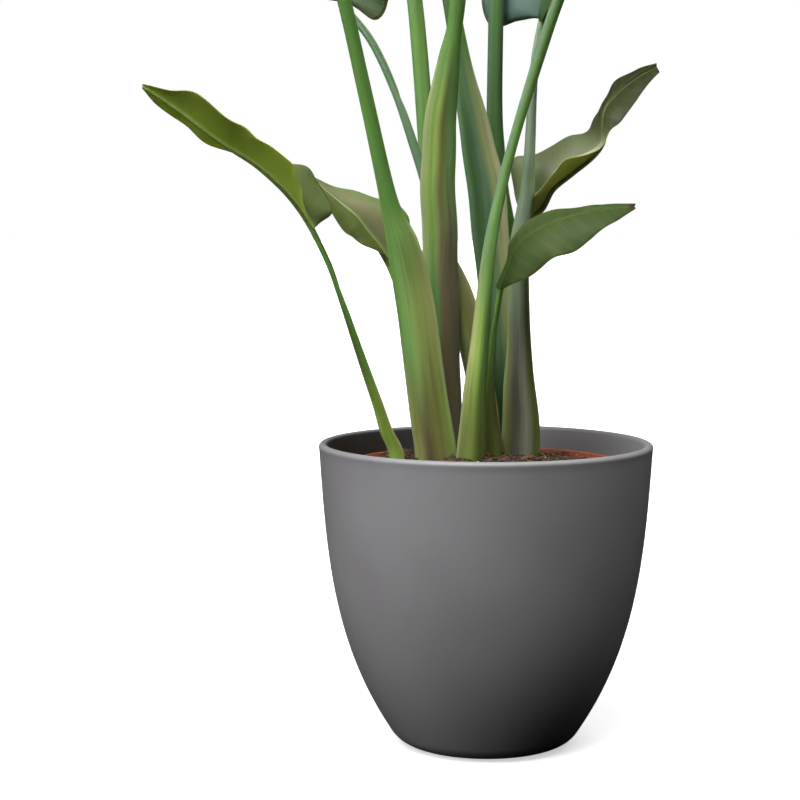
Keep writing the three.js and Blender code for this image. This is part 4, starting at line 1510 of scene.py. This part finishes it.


# ---------------------------------------------------------------- the twelve leaves


# The stalks' rows of tones are partly painted light and shade: lighter on sides the lamps leave dark, darker
# where blades and neighbours shade them.
LEAVES: tuple[Leaf, ...] = (
    Leaf(
        "leaf_left_front",
        Stalk(
            ((-44, -18, 214, 36), (-44, -18, 250, 36), (-51, -19, 300, 34), (-61, -21, 375, 32.5),
             (-69.5, -22, 418, 28), (-81, -24, 457, 15), (-99, -28, 538, 12), (-117, -32, 618, 12),
             (-137, -37, 695, 11.5)),
            sheath_top=462, facing=-18, margin=1, seed=1,
            finish=StalkFinish(
                upper=(Tone.LEAF, Tone.GRASS, Tone.GRASS),
                sheath=(Tone.LEAF, Tone.LEAF, Tone.REED, Tone.SEDGE, Tone.STRAW),
                foot=(Tone.WILLOW, Tone.OLIVE, Tone.LOAM, Tone.OLIVE, Tone.SPRING), foot_top=308,
                edge=Tone.APPLE,
            ),
        ),
        SpreadBlade(
            foot=(-156, -42, 755), azimuth=192, lean=(18, 86), length=400, width=176, lobes=(16, 16),
            phase=0.4,
        ),
    ),
    Leaf(
        "leaf_left_slender",
        Stalk(
            ((3, 18, 214, 22), (3, 18, 250, 22), (-4, 21, 300, 24), (-20, 28, 371, 24), (-35, 32, 415, 14),
             (-46, 35, 457, 9), (-59, 37, 500, 8), (-76.5, 42, 550, 7), (-96.5, 46, 592, 6.6)),
            sheath_top=462, facing=-22, margin=1, seed=2,
            finish=StalkFinish(
                upper=(Tone.FOG, Tone.TEAL, Tone.TEAL),
                sheath=(Tone.TEAL, Tone.SAGE, Tone.OLIVE, Tone.KHAKI),
                foot=(Tone.SAGE, Tone.OLIVE, Tone.PLUM), edge=Tone.STRAW,
            ),
        ),
        SpreadBlade(
            foot=(-121, 49, 625), azimuth=98, lean=(36, 74), length=230, width=108, lobes=(2, 24),
            fold=(0, -24), wave=4, phase=1.9,
            finish=BladeFinish(
                left=HalfTones(Tone.BOTTLE, Tone.DUSK, Tone.DUSK),
                right=HalfTones(Tone.BOTTLE, Tone.DUSK, Tone.DUSK),
                rim_share=0.8, gloss=0.25,
            ),
        ),
    ),
    Leaf(
        "leaf_back_left",
        Stalk(
            ((-35, 54, 214, 26), (-35, 54, 250, 26), (-38, 56, 340, 25), (-40, 57, 415, 24),
             (-44, 59, 458, 20), (-48.5, 61, 500, 15), (-55, 66, 585, 14), (-62, 72, 650, 13.5)),
            sheath_top=505, facing=190, margin=1, seed=3, channel=0.12,
            finish=StalkFinish(
                upper=(Tone.LEAF, Tone.MEADOW, Tone.LEAF), sheath=(Tone.APPLE, Tone.SPRING, Tone.SPRING),
                foot=(Tone.SAGE, Tone.OLIVE, Tone.PLUM), foot_top=300, edge=Tone.STRAW,
            ),
        ),
        SpreadBlade(foot=(-72, 84, 740), azimuth=150, lean=(14, 74), length=370, width=160, phase=3.1),
    ),
    Leaf(
        "leaf_centre",
        Stalk(
            ((-33, 14, 214, 29), (-33, 14, 250, 29), (-35, 12, 332, 29), (-38, 10, 424, 30),
             (-39.5, 7, 486, 29), (-37, 3, 530, 26), (-31, -1, 574, 18), (-27, -4, 598, 13),
             (-24, -7, 625, 13.5), (-16, -17, 705, 13)),
            sheath_top=600, facing=8, margin=-1, seed=4, crease=0.22,
            finish=StalkFinish(
                upper=(Tone.GRASS, Tone.LEAF, Tone.LEAF),
                sheath=(Tone.WILLOW, Tone.SPRING, Tone.OLIVE, Tone.SPROUT, Tone.MEADOW),
                foot=(Tone.WILLOW, Tone.LEAF, Tone.HEATH, Tone.HEATH, Tone.SLATE), foot_top=430,
                edge=Tone.APPLE,
            ),
        ),
        SpreadBlade(
            foot=(-6, -31, 790), azimuth=288, lean=(12, 84), length=410, width=184, lobes=(18, 18), wave=6,
            phase=5.2,
        ),
    ),
    Leaf(
        "leaf_back_broad",
        Stalk(
            ((19, 46, 214, 27), (19, 46, 250, 27), (14, 45, 329, 28), (7, 45, 415, 31), (2, 45, 466, 32),
             (-4, 46, 500, 28.5), (-12.5, 47, 538, 23), (-20, 49, 576, 16.5), (-29, 51, 626, 13.5),
             (-44, 57, 705, 12.5)),
            sheath_top=600, facing=176, margin=-1, seed=5, channel=0.12,
            finish=StalkFinish(
                upper=(Tone.PINE, Tone.PINE, Tone.GRASS),
                sheath=(Tone.TEAL, Tone.PINE, Tone.TEAL, Tone.WILLOW, Tone.CREAM),
                foot=(Tone.PINE, Tone.PINE, Tone.OLIVE), foot_top=320, edge=Tone.APPLE,
            ),
        ),
        SpreadBlade(
            foot=(-66, 66, 815), azimuth=146, lean=(12, 58), length=390, width=164, lobes=(16, 16),
            phase=0.9,
        ),
    ),
    Leaf(
        "leaf_back_upright",
        Stalk(
            ((27, 78, 214, 28), (27, 78, 250, 28), (24, 77, 327, 27), (18, 77, 414, 24), (14, 77, 458, 20),
             (11, 77, 501, 16), (10, 77, 544, 13.5), (11, 78, 629, 13), (11, 82, 690, 12.5)),
            sheath_top=530, facing=180, margin=1, seed=6, channel=0.12,
            finish=StalkFinish(
                upper=(Tone.TEAL, Tone.FROND, Tone.PINE), sheath=(Tone.SAGE, Tone.GRASS, Tone.GRASS),
                foot=(Tone.PINE, Tone.PINE, Tone.PLUM), edge=Tone.APPLE,
            ),
        ),
        SpreadBlade(foot=(11, 91, 745), azimuth=86, lean=(14, 72), length=350, width=150, phase=2.4),
    ),
    Leaf(
        "leaf_right_front",
        Stalk(
            ((-12, -26, 214, 26), (-12, -26, 250, 25), (-8.5, -30, 310, 18.5), (-4, -33, 362, 14),
             (1, -38, 417, 11), (10, -42, 465, 9), (22, -47, 513, 8.3), (41, -54, 576, 9.5),
             (54, -58, 615, 9.5), (80.5, -65, 685, 9)),
            sheath_top=430, facing=14, margin=-1, seed=7,
            finish=StalkFinish(
                upper=(Tone.TEAL, Tone.MEADOW, Tone.SPROUT, Tone.LEAF),
                sheath=(Tone.STRAW, Tone.SPRING, Tone.LEAF, Tone.LEAF),
                foot=(Tone.MOSS, Tone.FERN, Tone.MOSS, Tone.MOSS), foot_top=295, edge=Tone.SAGE,
            ),
        ),
        SpreadBlade(foot=(111, -72, 745), azimuth=318, lean=(26, 88), length=350, width=156, phase=4.1),
    ),
    Leaf(
        "leaf_right_back",
        Stalk(
            ((31.5, 7, 214, 35), (31.5, 7, 250, 35), (30.5, 8, 290, 30), (29, 11, 340, 21),
             (28.5, 13, 390, 19), (30, 15, 424, 18), (35, 18, 466, 12), (37, 20, 499, 9.5),
             (41.5, 42, 566, 8.3)),
            sheath_top=465, facing=18, margin=-1, seed=8,
            finish=StalkFinish(
                upper=(Tone.FOG, Tone.FOG, Tone.PEWTER, Tone.PEWTER),
                sheath=(Tone.PEWTER, Tone.PEWTER, Tone.PEWTER, Tone.PEWTER, Tone.SAGE),
                foot=(Tone.OLIVE, Tone.SHALE, Tone.SLATE, Tone.MOSS, Tone.FERN), foot_top=370,
                edge=Tone.SAGE,
            ),
        ),
        SpreadBlade(
            foot=(48, 68, 612), azimuth=338, lean=(16, 74), length=330, width=176, lobes=(34, 14),
            fold=(80, -26), wave=4, phase=2.9,
            finish=BladeFinish(left=HalfTones(foot=Tone.FJORD), foot_reach=(0.3, 0.14)),
        ),
    ),
    Leaf(
        "leaf_small_low_left",
        Stalk(
            ((-75, -19, 214, 14), (-75, -19, 246, 14), (-84, -24, 268, 12), (-91.5, -29, 293, 9.5),
             (-105.5, -38, 335, 7), (-119, -47, 376, 5.5), (-129, -53, 405, 5)),
            sheath_top=330, facing=-30, margin=1, seed=9,
            finish=StalkFinish(
                upper=(Tone.BOTTLE, Tone.MOSS, Tone.GRASS), sheath=(Tone.MOSS, Tone.FERN, Tone.LIME),
                foot=(Tone.LIME, Tone.SPRING, Tone.SPRING), foot_top=292, edge=Tone.BLUSH, rib=Tone.FERN,
            ),
        ),
        DrawnBlade(
            midrib=((-141, -59, 434), (-150, -61, 448.5), (-160, -64, 461.5), (-172, -66, 473.5),
                    (-187, -68, 486), (-203, -70, 496), (-220, -71, 507), (-240, -72, 522),
                    (-258, -73, 535), (-275, -74, 546)),
            left=((-145, -60, 438), (-149, -68, 456), (-153, -76, 474), (-157, -82, 485), (-176, -84, 500),
                  (-191, -84, 511), (-209, -82, 522), (-231, -80, 540), (-253, -77, 543), (-275, -75, 548)),
            right=((-138, -56, 437), (-127, -44, 447), (-134, -34, 464), (-145, -30, 481), (-166, -34, 487),
                   (-190, -40, 489), (-224, -46, 501), (-245, -54, 517), (-264, -64, 531),
                   (-276, -73, 545)),
            finish=BladeFinish(
                # CITRON is painted light: a brightened olive on the left half's foot and on the right half,
                # which lie in shade
                left=HalfTones(Tone.OLIVET, Tone.OLIVET, Tone.FERN, Tone.CITRON),
                right=HalfTones(Tone.CITRON, Tone.CITRON, Tone.CITRON, Tone.BRACKEN),
                midrib=Tone.APPLE, gloss=0.2,
            ),
        ),
    ),
    Leaf(
        "leaf_small_inner_left",
        Stalk(
            ((-55, 7, 214, 9), (-55, 7, 250, 9), (-58, 8, 290, 8.5), (-63, 9, 332, 7.5),
             (-70, 11, 374, 6.5)),
            sheath_top=300, facing=-100, margin=1, seed=10,
            finish=StalkFinish(
                upper=(Tone.SPRING, Tone.OLIVE), sheath=(Tone.OLIVE, Tone.OLIVE),
                foot=(Tone.OLIVE, Tone.PLUM), rib=Tone.FERN,
            ),
        ),
        DrawnBlade(
            midrib=((-79, 12, 403), (-88, 10, 418), (-99, 8, 432), (-109, 6, 445), (-121, 5, 455),
                    (-133, 4, 465), (-143, 3, 474)),
            left=((-81, 11, 408), (-92, 1, 416), (-102, -4, 419), (-110, -5, 426), (-119, -4, 432),
                  (-130, -2, 449), (-144, 2, 473)),
            right=((-76, 15, 407), (-64, 25, 435), (-71, 30, 451), (-90, 32, 459.5), (-112, 28, 464.5),
                   (-130, 18, 470), (-143, 5, 476)),
            finish=BladeFinish(
                left=HalfTones(Tone.MOSS, Tone.FERN, Tone.MOSS),
                right=HalfTones(Tone.CLAY, Tone.MIST, Tone.GRASS),
                midrib=Tone.APPLE, rim_share=1.0, gloss=0.3,
            ),
        ),
    ),
    Leaf(
        "leaf_small_upper_right",
        Stalk(
            ((37, 34, 214, 9), (37, 34, 250, 9), (35, 34, 290, 8.5), (32, 34, 350, 7), (31, 34, 407, 6)),
            sheath_top=310, facing=100, margin=1, seed=11,
            finish=StalkFinish(
                upper=(Tone.PEWTER, Tone.GRASS), sheath=(Tone.PEWTER, Tone.OLIVE),
                # rib=PALE is painted light: a pale tone that lifts the midrib's underside, which lies in
                # shade
                foot=(Tone.OLIVE, Tone.PLUM), rib=Tone.PALE,
            ),
        ),
        DrawnBlade(
            midrib=((34, 34, 440), (47, 30, 451), (56, 27, 467), (72, 24, 480.5), (89, 24, 494),
                    (98, 27, 506), (99, 32, 521), (102, 37, 535), (113, 41, 548), (128, 44, 560),
                    (146, 46, 570)),
            left=((31, 37, 444), (25, 45, 466), (26, 51, 493), (47, 52, 497.5), (70, 52, 510),
                  (88, 52, 517), (96, 52, 530), (103, 52, 544), (112, 52, 558), (129, 50, 568),
                  (146, 48, 573)),
            right=((37, 31, 441), (41, 17, 459), (49, 8, 470), (60, 2, 486), (76, 3, 493), (95, 12, 500),
                   (105, 17, 515.5), (115, 22, 525), (126, 29, 539), (137, 36, 554), (148, 44, 565)),
            finish=BladeFinish(
                left=HalfTones(Tone.DUSK, Tone.DUSK, Tone.YEW, Tone.HEMP),
                # the right half's PALE foot is painted light on its under face, which lies in shade
                right=HalfTones(Tone.DUSK, Tone.DUSK, Tone.DUSK, Tone.PALE),
                midrib=Tone.OLIVE, gloss=0.25,
            ),
        ),
    ),
    Leaf(
        "leaf_small_lower_right",
        Stalk(
            ((7, -5, 214, 22), (7, -5, 246, 22), (4, -7, 268, 17), (2.5, -10, 291, 12),
             (3.5, -14, 321, 7.5), (6, -18, 350, 5.5)),
            sheath_top=330, facing=20, margin=1, seed=12,
            finish=StalkFinish(
                upper=(Tone.GRASS, Tone.LEAF, Tone.GRASS), sheath=(Tone.GRASS, Tone.OLIVE, Tone.OLIVE),
                foot=(Tone.MOSS, Tone.MOSS, Tone.LOAM), edge=Tone.BRONZE, rib=Tone.FERN,
            ),
        ),
        DrawnBlade(
            midrib=((9, -22, 384), (16, -24, 402), (24, -26, 420), (40, -28, 433), (61, -30, 442),
                    (83, -32, 448), (103, -33, 451), (119, -34, 452)),
            left=((7, -20, 387), (17, -14, 409), (21, -8, 426), (35, -6, 440.5), (61, -10, 450),
                  (85, -16, 452), (104, -24, 454), (120, -33, 454)),
            right=((12, -25, 384), (21, -34, 389), (34, -42, 395), (51, -48, 409), (71, -50, 416.5),
                   (90, -48, 432), (106, -42, 441.5), (120, -35, 450)),
            finish=BladeFinish(
                left=HalfTones(Tone.BRAKE, Tone.BRAKE, Tone.IVY),
                right=HalfTones(Tone.BRAKE, Tone.BRAKE, Tone.BRAKE),
                midrib=Tone.IVY, dry_tip=0.06, gloss=0.08,
            ),
        ),
    ),
)


# ---------------------------------------------------------------- the studio


@dataclass(frozen=True)
class Lamp:
    """A wide soft light from far away: its direction from the plant, in degrees, strength and spread.

    The azimuth is 0 towards the camera and grows to its left.
    """

    name: str
    azimuth: float
    elevation: float
    strength: float
    spread: float

    def hang(self) -> None:
        """Puts the lamp into the scene."""
        data = bpy.data.lights.new(self.name, "SUN")
        data.energy = self.strength
        data.angle = math.radians(self.spread)
        made = bpy.data.objects.new(self.name, data)
        made.rotation_euler = (math.radians(90 - self.elevation), 0, -math.radians(self.azimuth))
        bpy.context.scene.collection.objects.link(made)


@dataclass
class Studio:
    """A plain pale studio: floor, white surroundings, soft light and the camera, in metres."""

    lens: float = 90.0
    pitch: float = 5.36
    place: tuple[float, float, float] = (-0.0718, -1.669, 0.447)
    lamps: tuple[Lamp, ...] = (
        Lamp("high_key", 40, 60, 4.3, 50),
        Lamp("low_key", 66, 10, 1.4, 60),
        Lamp("far_fill", -72, 66, 1.9, 40),
    )
    room_strength: float = 0.02
    floor_glow: float = 0.55
    dome_glow: float = 1.0
    reach: float = 30.0
    card_depth: float = 0.004

    def build(self) -> None:
        """Builds the studio."""
        bpy.context.scene.view_settings.view_transform = "Standard"
        self._room()
        self._surroundings()
        for lamp in self.lamps:
            lamp.hang()
        self._camera()

    def _room(self) -> None:
        """Lights the whole scene evenly from every side."""
        world = bpy.data.worlds.new("room")
        world.use_nodes = True
        sky = world.node_tree.nodes["Background"]
        sky.inputs["Color"].default_value = linear("#fbfcff")
        sky.inputs["Strength"].default_value = self.room_strength
        bpy.context.scene.world = world

    def _sheet(self, name: str, height: float, material: bpy.types.Material) -> bpy.types.Object:
        """Makes a square level sheet, which reaches as far as the studio does.

        Args:
            name: the object's name.
            height: its height.
            material: its material.

        Returns:
            The object.
        """
        mesh = bpy.data.meshes.new(name)
        half = self.reach
        corners = [(x * half, y * half, height) for x, y in ((-1, -1), (1, -1), (1, 1), (-1, 1))]
        mesh.from_pydata(corners, [], [(0, 1, 2, 3)])
        mesh.materials.append(material)
        made = bpy.data.objects.new(name, mesh)
        bpy.context.scene.collection.objects.link(made)
        return made

    def _surroundings(self) -> None:
        """Makes the floor, a dark card under it that dims what is lit from below, and the white dome."""
        glow = linear("#ffffff")
        pale = Shader("pale_floor").finish(
            Base_Color=linear("#e6e6e6"), Roughness=0.9, Specular_IOR_Level=0.1, Emission_Color=glow,
            Emission_Strength=self.floor_glow,
        )
        floor = self._sheet("floor", 0.0, pale)
        dim = Shader("dim_card").finish(Base_Color=linear("#1d1714"), Roughness=0.9, Specular_IOR_Level=0.0)
        self._sheet("card_below", -self.card_depth, dim).visible_camera = False
        white = Shader("white_dome").finish(
            Base_Color=linear("#000000"), Roughness=1.0, Specular_IOR_Level=0.0, Emission_Color=glow,
            Emission_Strength=self.dome_glow,
        )
        bpy.ops.mesh.primitive_uv_sphere_add(segments=64, ring_count=32, radius=self.reach)
        dome = bpy.context.object
        dome.name = "white_dome"
        dome.data.materials.append(white)
        for glowing in (floor, dome):
            glowing.visible_diffuse = False
            glowing.visible_glossy = False
        dome.visible_transmission = False
        dome.visible_shadow = False

    def _camera(self) -> None:
        """Places the camera."""
        data = bpy.data.cameras.new("camera")
        data.lens = self.lens
        data.sensor_width = 36.0
        data.clip_end = 100.0
        camera = bpy.data.objects.new("camera", data)
        camera.location = self.place
        camera.rotation_euler = (math.radians(90 - self.pitch), 0, 0)
        bpy.context.scene.collection.objects.link(camera)
        bpy.context.scene.camera = camera


# ---------------------------------------------------------------- everything


@dataclass
class PottedPlant:
    """The whole object."""

    outer_pot: OuterPot = field(default_factory=OuterPot)
    nursery_pot: NurseryPot = field(default_factory=NurseryPot)
    soil: Soil = field(default_factory=Soil)
    leaves: tuple[Leaf, ...] = LEAVES

    def build(self) -> None:
        """Builds every piece."""
        self.outer_pot.build()
        self.nursery_pot.build()
        self.soil.build()
        for leaf in self.leaves:
            leaf.build()


def main() -> None:
    """Builds the plant in its studio."""
    logging.basicConfig(level=logging.INFO, format="%(name)s %(message)s")
    PottedPlant().build()
    Studio().build()
    bpy.context.view_layer.update()


if __name__ == "__main__":
    main()
